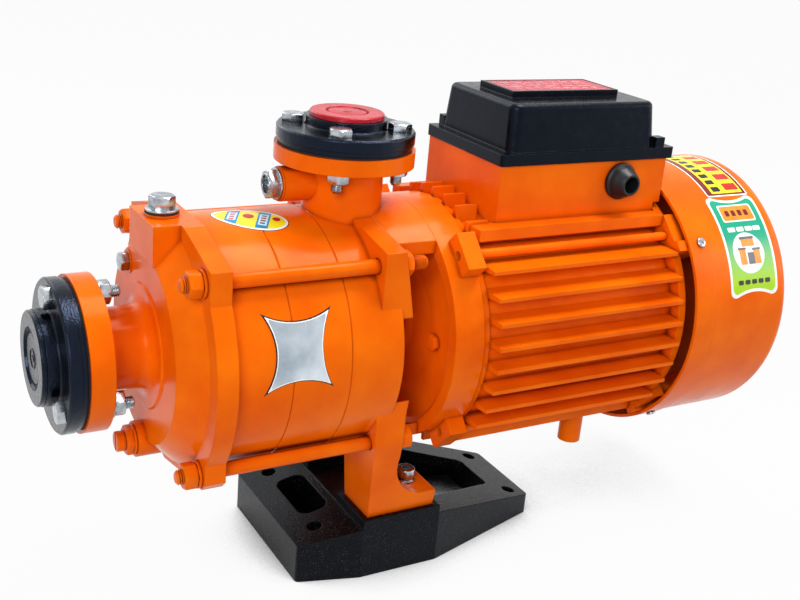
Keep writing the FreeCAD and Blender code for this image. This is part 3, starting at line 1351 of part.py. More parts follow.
def make_badge():
    """A blank bright plate with four hollowed sides, bent round the first two casings."""
    lowest = D.badge_angle - D.badge_spread / 2
    station = JOINTS[1] + 4.5
    sector = []
    for radius in (D.casing_radius + 0.9, D.casing_radius + D.seat):
        item = doc.addObject("Part::Cylinder", "sector")
        bind(item, "Radius", radius)
        bind(item, "Height", 2 * D.badge_half_length)
        bind(item, "Angle", D.badge_spread)
        bind(item, "Placement.Base.x", station - D.badge_half_length)
        bind(item, "Placement.Base.z", D.shaft_height)
        item.Placement.Rotation = Rotation(Vector(0, 1, 0), 90) * Rotation(
            Vector(0, 0, 1), -90 - (D.badge_angle + D.badge_spread / 2).value)
        sector.append(item)
    blank = drilled(sector[0], sector[1])
    tools = []
    tilt = Rotation(Vector(1, 0, 0), 90 - D.badge_angle.value)
    reach = D.badge_hollow_radius + D.badge_half_length - D.badge_hollow
    for across, lift in ((-1, 0), (1, 0), (0, -1), (0, 1)):
        item = doc.addObject("Part::Cylinder", "hollow")
        bind(item, "Radius", D.badge_hollow_radius)
        bind(item, "Height", as_size(30))
        item.Placement = Placement(Vector(), tilt)
        raised = lift * (reach + 3.9)
        foot = D.casing_radius - 15
        bind(item, "Placement.Base.x", station + across * reach)
        bind(item, "Placement.Base.y", -(foot * cosine(D.badge_angle)) + raised * sine(D.badge_angle))
        bind(item, "Placement.Base.z", D.shaft_height + foot * sine(D.badge_angle)
             + raised * cosine(D.badge_angle))
        tools.append(item)
    node(drilled(blank, joined(tools)), "badge_plate")


def make_all():
    make_foot_plate()
    make_foot_screws()
    make_discharge_casing()
    make_discharge_flange_parts()
    for number in (2, 1):
        make_stage_casing(number)
    make_casing_seals()
    for number in (1, 2, 3):
        make_impeller(number)
    for number in (1, 2):
        make_diffuser(number)
    make_shaft_parts()
    make_shaft()
    make_shaft_seal()
    make_suction_cover()
    make_suction_flange_parts()
    make_plugs()
    make_tie_rods()
    make_front_shield()
    make_motor_frame()
    make_motor_core()
    make_bearings()
    make_rear_shield()
    make_fan()
    make_fan_cover()
    make_lid()
    make_box_contents()
    make_badge()


make_all()
doc.recompute()

# Every object has to be sound before anything is written

for item in doc.Objects:
    if "Invalid" in item.State or "Error" in item.State:
        raise ValueError(f"{item.Label} did not build: {item.State}")
for item in NODES:
    if item.Shape.isNull() or not item.Shape.isValid() or not item.Shape.Solids:
        raise ValueError(f"{item.Label} has no sound shape")
os.makedirs("parts", exist_ok=True)
for item in NODES:
    item.Shape.exportStep(f"parts/{item.Label}.step")
    print(f"{item.Label}: {len(item.Shape.Solids)} solids, {item.Shape.Volume / 1000:.1f} cm3")
print(f"{len(NODES)} nodes")
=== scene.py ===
import json
from math import cos, pi, radians, sin, sqrt, tan

import bpy
from mathutils import Matrix, Vector


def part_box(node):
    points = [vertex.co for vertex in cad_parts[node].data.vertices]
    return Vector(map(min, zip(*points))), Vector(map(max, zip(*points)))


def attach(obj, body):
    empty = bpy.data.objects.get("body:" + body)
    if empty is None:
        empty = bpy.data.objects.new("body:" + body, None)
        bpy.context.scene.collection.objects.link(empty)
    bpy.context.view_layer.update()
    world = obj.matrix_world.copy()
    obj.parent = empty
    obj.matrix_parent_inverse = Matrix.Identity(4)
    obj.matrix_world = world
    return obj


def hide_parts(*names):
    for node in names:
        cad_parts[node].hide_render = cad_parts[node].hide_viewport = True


# Horizontal multistage pump on a cast foot plate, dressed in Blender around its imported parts.
# Lengths below are written in millimetres and turned to metres by MM. The shaft lies along X with
# the inlet at its low end and the fan at its high one, the near side faces minus Y, and the foot
# plate stands at zero height.

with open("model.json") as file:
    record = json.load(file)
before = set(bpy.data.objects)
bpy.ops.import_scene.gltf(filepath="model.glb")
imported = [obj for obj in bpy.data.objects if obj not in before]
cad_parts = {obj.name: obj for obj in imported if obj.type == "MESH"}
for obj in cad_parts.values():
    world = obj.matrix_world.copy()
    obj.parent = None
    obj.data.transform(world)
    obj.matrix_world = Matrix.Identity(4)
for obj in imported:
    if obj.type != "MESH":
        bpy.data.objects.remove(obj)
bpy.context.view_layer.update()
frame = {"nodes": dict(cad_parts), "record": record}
NODES = frame["nodes"]
MM = 0.001
SHAFT = 210.0  # height of the shaft over the floor
ORIGIN = (0, 0, 0)
UP, DOWN, TO_FAN, TO_INLET = (0, 0, 1), (0, 0, -1), (1, 0, 0), (-1, 0, 0)

bpy.ops.object.select_all(action="DESELECT")


# Materials

def linear(colour):
    """sRGB hex to linear RGBA."""
    parts = [int(colour[k:k + 2], 16) / 255 for k in (1, 3, 5)]
    return [c / 12.92 if c <= 0.04045 else ((c + 0.055) / 1.055) ** 2.4 for c in parts] + [1.0]


def shades(dark, light):
    """The stops of a ramp from a dark colour to a light one over the middle of a noise's range."""
    return [(0.3, linear(dark)), (0.7, linear(light))]


def add_node(tree, kind, inputs=None, stops=(), **settings):
    """A new node; an input takes a number, a colour or another node's output, a ramp its stops."""
    made = tree.nodes.new("ShaderNode" + kind)
    for name, value in settings.items():
        setattr(made, name, value)
    for number, (position, colour) in enumerate(stops):
        made.color_ramp.elements[number].position = position
        made.color_ramp.elements[number].color = colour
    for name, value in (inputs or {}).items():
        socket = made.inputs[name]
        if isinstance(value, bpy.types.NodeSocket):
            tree.links.new(value, socket)
        else:
            socket.default_value = value
    return made


def new_material(name):
    """An empty material, its tree, and the piece's own coordinates in it."""
    made = bpy.data.materials.new(name)
    made.use_nodes = True
    made.node_tree.nodes.clear()
    return made, made.node_tree, add_node(made.node_tree, "TexCoord").outputs["Object"]


def surface(name, dark, light, patch, swell, grain, gloss, edge, specular=0.5, tint="#FFFFFF",
            metallic=0.0, crevice_shade=None, painted_glints=None):
    """An opaque finish. Patches of colour are that many millimetres wide, swell and grain are the
    width and depth of its slow and fine unevenness, gloss is its range of roughness, edge is the
    width to which its corners look rounded, crevice_shade is how far painted shade reaches into
    seams and corners and its colour there, and painted_glints are the width and colour of
    painted glints on small grains."""
    made, tree, place = new_material(name)
    cloud = add_node(tree, "TexNoise", {"Vector": place, "Scale": 1 / (patch * MM), "Detail": 4.0})
    colour = add_node(tree, "ValToRGB", {"Fac": cloud.outputs["Fac"]},
                      shades(dark, light)).outputs["Color"]
    shade_and_glint_layers = []
    # Painted shade: where ambient occlusion finds a seam or corner close by, the colour runs
    # towards a darker one
    if crevice_shade:
        open_air = add_node(tree, "AmbientOcclusion", {"Distance": crevice_shade[0] * MM}, samples=6)
        share = add_node(tree, "MapRange", {"Value": open_air.outputs["AO"], "From Min": 0.3,
                                            "From Max": 0.8, "To Min": 1.0, "To Max": 0.0})
        shade_and_glint_layers.append((share, crevice_shade[1]))
    # Painted highlights: pale spots where a fine noise runs high, standing in for glints off grains
    if painted_glints:
        specks = add_node(tree, "TexNoise", {"Vector": place, "Scale": 1 / (painted_glints[0] * MM),
                                             "Detail": 1.0})
        share = add_node(tree, "MapRange", {"Value": specks.outputs["Fac"], "From Min": 0.64,
                                            "From Max": 0.72})
        shade_and_glint_layers.append((share, painted_glints[1]))
    for share, layer_colour in shade_and_glint_layers:
        colour = add_node(tree, "MixRGB", {"Fac": share.outputs["Result"], "Color1": colour,
                                           "Color2": linear(layer_colour)}).outputs["Color"]
    wear = add_node(tree, "TexNoise", {"Vector": place, "Scale": 3 / (patch * MM), "Detail": 4.0})
    shine = add_node(tree, "MapRange", {"Value": wear.outputs["Fac"], "From Min": 0.3,
                                        "From Max": 0.7, "To Min": gloss[0], "To Max": gloss[1]})
    normal = add_node(tree, "Bevel", {"Radius": edge * MM}, samples=4).outputs["Normal"]
    for width, depth in (swell, grain):
        height = add_node(tree, "TexNoise", {"Vector": place, "Scale": 1 / (width * MM),
                                             "Detail": 3.0})
        normal = add_node(tree, "Bump", {"Height": height.outputs["Fac"], "Distance": depth * MM,
                                         "Normal": normal}).outputs["Normal"]
    shader = add_node(tree, "BsdfPrincipled", {
        "Base Color": colour, "Roughness": shine.outputs["Result"], "Normal": normal,
        "Metallic": metallic, "Specular IOR Level": specular, "Specular Tint": linear(tint)})
    add_node(tree, "OutputMaterial", {"Surface": shader.outputs[0]})
    return made


WAVE_BAND = 2 * pi / 20  # width of one band of a wave texture whose scale is one


def stacked(name, dark, light, pitch, metallic, direction):
    """Sheets or wires side by side, that many millimetres apart."""
    made, tree, place = new_material(name)
    bands = add_node(tree, "TexWave", {"Vector": place, "Scale": WAVE_BAND / (pitch * MM),
                                       "Distortion": 0.4}, bands_direction=direction).outputs["Fac"]
    colour = add_node(tree, "ValToRGB", {"Fac": bands}, shades(dark, light))
    normal = add_node(tree, "Bump", {"Height": bands, "Distance": 0.15 * MM}).outputs["Normal"]
    shader = add_node(tree, "BsdfPrincipled", {
        "Base Color": colour.outputs["Color"], "Roughness": 0.42, "Normal": normal,
        "Metallic": metallic})
    add_node(tree, "OutputMaterial", {"Surface": shader.outputs[0]})
    return made


def printed(name, dark, light, heights=None):
    """Glossy printed vinyl film, slightly rippled by the casting under it; the ink is mottled, or
    runs from one colour to the other between two heights."""
    made, tree, place = new_material(name)
    ripple = add_node(tree, "TexNoise", {"Vector": place, "Scale": 1 / (9 * MM)}).outputs["Fac"]
    share = ripple
    if heights:
        height = add_node(tree, "SeparateXYZ", {"Vector": place}).outputs["Z"]
        share = add_node(tree, "MapRange", {"Value": height, "From Min": heights[0] * MM,
                                            "From Max": heights[1] * MM}).outputs["Result"]
    colour = add_node(tree, "ValToRGB", {"Fac": share}, shades(dark, light))
    normal = add_node(tree, "Bump", {"Height": ripple, "Distance": 0.04 * MM}).outputs["Normal"]
    shader = add_node(tree, "BsdfPrincipled", {
        "Base Color": colour.outputs["Color"], "Roughness": 0.25, "Normal": normal,
        "Specular IOR Level": 0.3})
    add_node(tree, "OutputMaterial", {"Surface": shader.outputs[0]})
    return made


FINISH = {
    # Gloss enamel sprayed thick on sand castings: full edges, a slow swell, fine orange peel, and
    # a darker line of painted shade in its seams and corners
    "orange_enamel": surface("orange_gloss_enamel", "#E95D02", "#F77207", patch=45,
                             swell=(26, 0.3), grain=(2.6, 0.035), gloss=(0.14, 0.26), edge=1.4,
                             specular=0.14, tint="#FFC890", crevice_shade=(7, "#8E2400")),
    # Thick black gloss brushed on turned iron: soft lumps with cold lights on them
    "black_enamel": surface("black_gloss_on_turned_iron", "#020304", "#080A0D", patch=6,
                            swell=(7, 0.2), grain=(1.8, 0.3), gloss=(0.08, 0.22), edge=1.4,
                            specular=0.34, tint="#A8C4F8"),
    # Bright zinc on forged steel: pale facets with soft dark reflections
    "zinc_plate": surface("bright_zinc_plate", "#8E949A", "#C6CBD0", patch=6,
                          swell=(7, 0.012), grain=(1.2, 0.005), gloss=(0.14, 0.30), edge=0.35,
                          metallic=1.0),
    # Moulded plastic with a flat, cool sheen; its spark-eroded grain is drawn coarse enough to show
    "black_plastic": surface("black_moulded_abs", "#050608", "#0B0D10", patch=20,
                             swell=(18, 0.12), grain=(0.9, 0.06), gloss=(0.16, 0.30), edge=1.6,
                             specular=0.17, tint="#A8C4F8"),
    # Moulded polythene of a plug and a thin plate: waxy gloss, a little uneven
    "red_plastic": surface("red_moulded_polythene", "#9E0817", "#BE1028", patch=20,
                           swell=(12, 0.10), grain=(1.6, 0.03), gloss=(0.22, 0.34), edge=0.5,
                           specular=0.3),
    # Soft moulded rubber, nearly matt
    "black_rubber": surface("black_rubber", "#101114", "#191B1F", patch=20,
                            swell=(8, 0.05), grain=(1.2, 0.03), gloss=(0.34, 0.50), edge=0.6,
                            specular=0.3),
    # Pressed fibre sheet, dull and faintly rough
    "gasket_fibre": surface("pressed_fibre", "#1B1D1C", "#2C2E2C", patch=8,
                            swell=(4, 0.05), grain=(0.7, 0.08), gloss=(0.70, 0.85), edge=0.3,
                            specular=0.2),
    # Cast and turned bronze, cloudy yellow brown
    "bronze": surface("cast_bronze", "#A8743C", "#C99556", patch=6,
                      swell=(8, 0.06), grain=(1.0, 0.02), gloss=(0.28, 0.45), edge=0.4,
                      metallic=1.0),
    # Moulded plastic dulled by its glass fibres
    "moulded_diffuser": surface("glass_filled_plastic", "#17181A", "#242628", patch=20,
                                swell=(12, 0.05), grain=(0.8, 0.04), gloss=(0.40, 0.60), edge=0.5,
                                specular=0.3),
    # Ground steel: bright, with a faint cloudiness
    "ground_steel": surface("ground_steel", "#9FA2A6", "#C8CBCE", patch=6,
                            swell=(6, 0.01), grain=(1.0, 0.008), gloss=(0.18, 0.32), edge=0.3,
                            metallic=1.0),
    # Lapped carbon, dark and even
    "seal_face": surface("lapped_carbon", "#151516", "#202123", patch=8,
                         swell=(6, 0.01), grain=(0.6, 0.01), gloss=(0.30, 0.42), edge=0.3,
                         specular=0.3),
    # Thin steel sheets pressed together, drawn coarser than the real ones so that they show
    "core_steel": stacked("steel_laminations", "#6E7073", "#A9ACB0", pitch=1.5, metallic=1.0,
                          direction="X"),
    # Varnished copper wire laid in layers, drawn coarser than the real wire so that it shows
    "copper_winding": stacked("enamelled_copper_wire", "#7A3A16", "#C4703A", pitch=1.2,
                              metallic=0.8, direction="DIAGONAL"),
    # Polished chrome on thin sheet: cold, with slow ripples
    "bright_plate": surface("polished_chrome_plate", "#93A1AE", "#DCE5EC", patch=38,
                            swell=(22, 0.3), grain=(3.0, 0.004), gloss=(0.05, 0.12), edge=0.3,
                            metallic=1.0),
}
SLOT_OF = {part["node"]: part["material_slot"] for part in frame["record"]["subparts"]}


def paint(obj, material):
    obj.data.materials.clear()
    obj.data.materials.append(material)


for node_name, node in NODES.items():
    paint(node, FINISH[SLOT_OF[node_name]])

# Black gloss on a rough sand casting: nearly black all over, with painted glints on hard grains,
# drawn coarser than the sand's own so that they show
paint(NODES["foot_plate"], surface(
    "black_gloss_on_sand_casting", "#030304", "#0A0A0C", patch=5, swell=(9, 0.05),
    grain=(1.6, 0.5), gloss=(0.12, 0.26), edge=1.8, specular=0.13, tint="#D8E4FC",
    painted_glints=(1.15, "#3A3E44")))

# Moulded nylon, red brown and a little glossy, glimpsed through the mouth of the fan cover
paint(NODES["fan"], surface(
    "red_brown_nylon", "#A8380C", "#C04612", patch=20, swell=(12, 0.08), grain=(1.0, 0.03),
    gloss=(0.35, 0.50), edge=0.6, specular=0.3))


# Small tools for the modelled pieces

def only(obj):
    """Selects one object and makes it the active one."""
    bpy.ops.object.select_all(action="DESELECT")
    obj.select_set(True)
    bpy.context.view_layer.objects.active = obj


def settled(obj):
    """Takes an object's place, turn and size into its mesh."""
    only(obj)
    bpy.ops.object.transform_apply(location=True, rotation=True, scale=True)
    return obj


def apply_modifier(obj, kind, **settings):
    only(obj)
    made = obj.modifiers.new("step", kind)
    for name, value in settings.items():
        setattr(made, name, value)
    bpy.ops.object.modifier_apply(modifier=made.name)
    return obj


def cut(obj, tool, operation="DIFFERENCE"):
    """Exact boolean; the tool is used up."""
    apply_modifier(obj, "BOOLEAN", object=tool, operation=operation, solver="EXACT")
    bpy.data.objects.remove(tool, do_unlink=True)
    return obj


def soften(obj, width, segments=2):
    """Rounds every sharp edge to that width."""
    return apply_modifier(obj, "BEVEL", width=width * MM, segments=segments, limit_method="ANGLE",
                          angle_limit=radians(25), harden_normals=False)


def put(obj, at, facing, turn=0.0):
    """Sets a piece that stands on the origin down at a point, its own Z along a direction."""
    turned = Vector(UP).rotation_difference(Vector(facing)).to_matrix().to_4x4()
    obj.matrix_world = (Matrix.Translation(Vector(at) * MM) @ turned
                        @ Matrix.Rotation(radians(turn), 4, "Z"))
    return settled(obj)


def copy_of(obj):
    made = obj.copy()
    made.data = obj.data.copy()
    bpy.context.collection.objects.link(made)
    return made


def cylinder(radius, start, end, sides=48):
    """A cylinder on Z between two heights."""
    bpy.ops.object.select_all(action="DESELECT")
    bpy.ops.mesh.primitive_cylinder_add(
        vertices=sides, radius=radius * MM, depth=(end - start) * MM,
        location=(0, 0, (start + end) / 2 * MM))
    return settled(bpy.context.object)


def cone(low_radius, high_radius, start, end):
    """A cone on Z between two heights."""
    bpy.ops.object.select_all(action="DESELECT")
    bpy.ops.mesh.primitive_cone_add(
        vertices=64, radius1=low_radius * MM, radius2=high_radius * MM, depth=(end - start) * MM,
        location=(0, 0, (start + end) / 2 * MM))
    return settled(bpy.context.object)


def block(x, y, z):
    """A box between two numbers on each axis."""
    bpy.ops.object.select_all(action="DESELECT")
    bpy.ops.mesh.primitive_cube_add(size=1, location=[(a + b) / 2 * MM for a, b in (x, y, z)],
                                    scale=[(b - a) * MM for a, b in (x, y, z)])
    return settled(bpy.context.object)


def joined(parts):
    bpy.ops.object.select_all(action="DESELECT")
    for part in parts:
        part.select_set(True)
    bpy.context.view_layer.objects.active = parts[0]
    if len(parts) > 1:
        bpy.ops.object.join()
    return parts[0]


def piece(name, obj, body, slot, replaced=(), material=None):
    """Names a finished object, paints it, hangs it on its body and hides the parts that it
    replaces.
    """
    obj.name = name
    obj.data.name = name
    only(obj)
    bpy.ops.object.shade_smooth_by_angle(angle=radians(32))
    paint(obj, material or FINISH[slot])
    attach(obj, body)
    if replaced:
        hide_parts(*replaced)


def in_place_of(node, obj, slot, body="pump_body"):
    """Puts a fastener modelled anew on its body in place of the node that it is named for, and
    hides that node.
    """
    piece(node + "_modelled", obj, body, slot, [node])


# Fasteners

M8_RADIUS, M8_FLATS = 4, 13
M10_RADIUS, M10_FLATS, M10_PITCH = 5, 17, 1.5
M12_RADIUS, M12_FLATS, M12_PITCH = 6, 19, 1.75
PLAY = 0.05  # between a nut and the thread in it
CHAMFER = tan(radians(30))
OVERRUN = 5  # of the cones that turn a hexagon's corners off
THREAD_DEPTH = 0.6  # of a pitch
TIP, TIP_SIZE = 0.5, 0.86  # least length of a bolt's plain tip, and its end's share of the root


def hexagon(flats, start, end, both=False):
    """A forged hexagon along Z, the corners of its top turned off, or those of both ends."""
    made = cylinder(flats / sqrt(3), start, end, 6)
    top = 0.475 * flats
    spread = top + (end - start + OVERRUN) / CHAMFER
    cut(made, cone(spread, top, start - OVERRUN, end), "INTERSECT")
    if both:
        cut(made, cone(top, spread, start, end + OVERRUN), "INTERSECT")
    return soften(made, 0.25)


def thread(radius, start, end, pitch):
    """A threaded shank: crests and roots drawn out ring by ring from a disc, and a turned tip."""
    root = radius - THREAD_DEPTH * pitch
    bpy.ops.object.select_all(action="DESELECT")
    bpy.ops.mesh.primitive_circle_add(vertices=32, radius=root * MM, fill_type="NGON",
                                      location=(0, 0, start * MM))
    made = settled(bpy.context.object)
    bpy.ops.object.mode_set(mode="EDIT")
    bpy.ops.mesh.select_all(action="SELECT")
    turns = int((end - start - TIP) / pitch)
    rings = [(0.5 * pitch, radius / root), (0.5 * pitch, root / radius)] * turns
    for rise, growth in rings + [(end - start - turns * pitch, TIP_SIZE)]:
        bpy.ops.mesh.extrude_region_move(TRANSFORM_OT_translate={"value": (0, 0, rise * MM)})
        bpy.ops.transform.resize(value=(growth, growth, 1))
    bpy.ops.mesh.select_all(action="SELECT")
    bpy.ops.mesh.normals_make_consistent(inside=False)
    bpy.ops.object.mode_set(mode="OBJECT")
    return made


def scattered(parts, places):
    """Copies of one standing piece at each (point, direction, turn); the pattern is used up."""
    pattern = joined(parts)
    made = [put(copy_of(pattern), at, facing, turn) for at, facing, turn in places]
    bpy.data.objects.remove(pattern, do_unlink=True)
    return joined(made)


def ring_of(radius, angle, count=4):
    """Points evenly round a circle, the first at that angle."""
    turns = [radians(angle + 360 * k / count) for k in range(count)]
    return [(radius * cos(turn), radius * sin(turn)) for turn in turns]


def collar(radius, thick=2, sides=64):
    """The turned disc under a head or a nut."""
    return soften(cylinder(radius, 0, thick, sides), 0.35)


def washer(outer, inner, thick):
    return cut(collar(outer, thick), cylinder(inner, -1, thick + 1))


def flanged_joint(port, places, facing, grip, tail, shim):
    """The bolts and nuts of one port: head outside, nut and washer on the back of the pump's
    flange."""
    back = tuple(-part for part in facing)
    heads = [(at, facing, 17 * k + 8) for k, at in enumerate(places)]
    bolt = [hexagon(M10_FLATS, 0, 6.5), cylinder(M10_RADIUS, 1 - grip, 1),
            put(thread(M10_RADIUS, grip - 1, tail, M10_PITCH), ORIGIN, DOWN)]
    piece(port + "_bolts_modelled", scattered(bolt, heads), "pump_body", "zinc_plate",
          [port + "_flange_bolts"])
    seats = [(tuple(a - grip * b for a, b in zip(at, facing)), back, 23 * k + 5)
             for k, at in enumerate(places)]
    nut = [cut(hexagon(M10_FLATS, shim, shim + 8.5, both=True),
               cylinder(M10_RADIUS + PLAY, -1, 12))]
    if shim:
        nut.append(washer(10, M10_RADIUS + PLAY, shim))
    piece(port + "_nuts_modelled", scattered(nut, seats), "pump_body", "zinc_plate",
          [port + "_flange_nuts"])


flanged_joint("suction", [(-282.1, a, SHAFT + b) for a, b in ring_of(50, 94, 3)], TO_INLET,
              grip=34.1, tail=53.1, shim=2.5)
flanged_joint("discharge", [(-39.5 + a, b, 383.3) for a, b in ring_of(44, 57)], UP,
              grip=28.9, tail=45.9, shim=0)

ROD_CORNERS = [(across * 80.2, SHAFT + up * 78.6) for across in (-1, 1) for up in (1, -1)]


def tie_rods():
    """Rods with a thread at each end, a nut on each thread, and washers on the suction cover."""
    rods, seats, washers = [], [], []
    for k, (across, height) in enumerate(ROD_CORNERS):
        for station, length, facing in ((-195, 13, TO_INLET), (-25, 24, TO_FAN)):
            rods.append(put(thread(M12_RADIUS, 0, length, M12_PITCH), (station, across, height),
                            facing))
        rods.append(put(soften(cylinder(M12_RADIUS, 0, 171), 0.4), (-195.5, across, height),
                        TO_FAN))
        seats.append(((-192, across, height), TO_INLET, 14 * k))
        washers.append(((-189.5, across, height), TO_INLET, 0))
    for k, (across, height) in enumerate(ROD_CORNERS):
        station = -27 if height > SHAFT else -13
        seats.append(((station, across, height), TO_FAN, 19 * k + 10))
    nut = cut(hexagon(M12_FLATS, 0, 10.8, both=True), cylinder(M12_RADIUS + PLAY, -1, 12))
    in_place_of("tie_rods", joined(rods), "orange_enamel")
    in_place_of("tie_rod_nuts", scattered([nut], seats), "orange_enamel")
    in_place_of("tie_rod_washers", scattered([washer(11.2, 6.2, 2.5)], washers), "orange_enamel")


def motor_bolts():
    """The bolts through the motor's frame, and those of its front shield, seen in the lantern."""
    for node, station, facing, circle, angle, turn, reach in (
            ("motor_through_bolts", 271.1, TO_FAN, 114, 45, 11, 233.5),
            ("front_shield_bolts", 24, TO_INLET, 69, 0, 25, 11)):
        places = [((station, a, SHAFT + b), facing, turn * k)
                  for k, (a, b) in enumerate(ring_of(circle, angle))]
        bolt = [hexagon(M8_FLATS, 0, 5.5), cylinder(M8_RADIUS, -reach, 1, 32)]
        in_place_of(node, scattered(bolt, places), "orange_enamel")


def foot_screws():
    """Socket screws on turned discs."""
    key_flats = 8
    cap = soften(cylinder(8, 2, 12, 64), 0.7, 3)
    cut(cap, cylinder(key_flats / sqrt(3), 7, 13, 6))
    places = [((15, side * 56, 72.5), UP, 20 * side) for side in (-1, 1)]
    screw = [collar(8.8), cap, cylinder(5, -34.5, 1, 32)]
    in_place_of("foot_screws", scattered(screw, places), "zinc_plate")


def fan_cover_screws():
    """Pan head screws with a cross slot, their heads on the cover's rim."""
    rim = 130
    head = soften(cylinder(4.5, 0, 2.2, 40), 0.9, 4)
    for turn in (0, 90):
        cut(head, put(block((-2.6, 2.6), (-0.5, 0.5), (1, 3)), ORIGIN, UP, turn))
    places = [((277, rim * a, SHAFT + rim * b), (0, a, b), 33 * k + 20)
              for k, (a, b) in enumerate(ring_of(1, 52.5))]
    in_place_of("fan_cover_screws", scattered([head, cylinder(2, -6.5, 1, 24)], places),
                "zinc_plate")


def screwed_plugs():
    """The hexagon plugs of the pump: a turned collar, a forged hexagon and a shank. The priming
    plug's shank is threaded, the drain plug ends in a slotted pin and the side port's plug is
    hollow with a thin lip."""
    priming = [collar(13), hexagon(18, 1.9, 12), cylinder(8.1, -2, 1),
               put(thread(8.7, 1.5, 15.9, 1.81), ORIGIN, DOWN)]
    vent = [hexagon(14, 0, 7), cylinder(4.6, -8, 1, 32)]
    pin = cut(soften(cylinder(8.5, 7.9, 15), 0.8, 3), block((-9, 9), (-1.1, 1.1), (12.5, 16)))
    drain = [collar(13), hexagon(22, 1.9, 8), pin, cylinder(7.6, -14, 1)]
    hollow = 7.5
    head = cut(hexagon(22, 1.9, 9.5), cylinder(hollow, 3.5, 12, 64))
    lip = soften(cut(cylinder(8.9, 9.4, 10.2, 64), cylinder(hollow, 8, 12, 64)), 0.3)
    side_port = [collar(13.2), head, lip, cylinder(7.6, -14, 1)]
    casing_drain = [collar(7.6, sides=48), hexagon(M8_FLATS, 1.9, 10)]
    for node, parts, at, facing, turn, body, slot in (
            ("priming_plug", priming, (-194.5, 0, 321.6), UP, 12, "priming_plug_body",
             "zinc_plate"),
            ("vent_plug", vent, (-210.1, 38, 268.5), TO_INLET, 10, "vent_plug_body", "zinc_plate"),
            ("drain_plug", drain, (-216.1, 0, 127), TO_INLET, 6, "drain_plug_body",
             "orange_enamel"),
            ("side_port_plug", side_port, (-99.1, 0, 337), TO_INLET, 20, "side_port_plug_body",
             "zinc_plate"),
            ("casing_drain_plug", casing_drain, (-26.9, -65, 145), TO_FAN, 9, "pump_body",
             "orange_enamel")):
        in_place_of(node, put(joined(parts), at, facing, turn), slot, body)


tie_rods()
motor_bolts()
foot_screws()
fan_cover_screws()
screwed_plugs()


# Printed films on the round surfaces, all of generic design

FAN_COVER, CASING, BRIGHT_PLATE = 128.5, 104, 104.9  # their outer radii
FILM_GAP, FILM_STEP, FILM_THICK = 0.03, 0.02, 0.05
STAMP = (60, 150)  # from well inside the round bodies to well outside
STAMP_TOOL = (50, 160)


def facing_out(obj, station, angle, turn):
    """Turns a piece built on the origin so that its Z points out of the round body at that angle
    above the near side's middle, its X runs along the shaft and its Y up over the top."""
    a = radians(angle)
    outward = Matrix(((1, 0, 0, station * MM), (0, sin(a), -cos(a), 0),
                      (0, cos(a), sin(a), SHAFT * MM), (0, 0, 0, 1)))
    obj.matrix_world = outward @ Matrix.Rotation(radians(turn), 4, "Z")
    return settled(obj)


def wrapped(stamp, radius, layer, span):
    """The part of a thin shell round the shaft that the stamp covers, within a span along it;
    higher layers lie on lower ones."""
    low = radius + FILM_GAP + FILM_STEP * layer
    high = low + FILM_THICK + FILM_THICK * layer
    outer = put(cylinder(high, span[0], span[1], 256), (0, 0, SHAFT), TO_FAN)
    inner = put(cylinder(low, span[0] - 1, span[1] + 1, 256), (0, 0, SHAFT), TO_FAN)
    return cut(cut(stamp, outer, "INTERSECT"), inner)


def stamp_of(x, y, corner=0.0):
    made = block(x, y, STAMP)
    return soften(made, corner, 5) if corner else made


def round_stamp(radius, x, y, sides, depth=STAMP):
    return put(cylinder(radius, *depth, sides), (x, y, 0), UP)


def oval(half_x, half_y):
    made = cylinder(1, *STAMP, 96)
    made.scale = (half_x, half_y, 1)
    return settled(made)


INK = {
    "white": printed("white_film", "#F2F2EE", "#FBFBF8"),
    "yellow": printed("yellow_ink", "#F0DC14", "#F7E82A"),
    "blue": printed("blue_ink", "#1E7FB4", "#2B93C6"),
    "red": printed("red_ink", "#B5160F", "#C8241A"),
    "maroon": printed("maroon_ink", "#6E1210", "#7D1A16"),
    "orange": printed("orange_ink", "#E88722", "#F09A38"),
    "black": printed("black_ink", "#141414", "#1E1E1E"),
    "steel": printed("grey_ink", "#5A5C60", "#6C6E72"),
    "pale": printed("pale_blue_ink", "#BFE0EE", "#D8EEF6"),
    "green": printed("sea_green_to_lime_ink", "#A8D808", "#10A37E", heights=(226, 316)),
}


def label(name, radius, station, angle, span, layers, turn=0.0):
    """One label: for each layer the ink and its stamps."""
    for number, (ink, stamps) in enumerate(layers):
        parts = [wrapped(facing_out(stamp, station, angle, turn), radius, number, span)
                 for stamp in stamps]
        piece(f"{name}_{number}_{ink}", joined(parts), "pump_body", "orange_enamel",
              material=INK[ink])


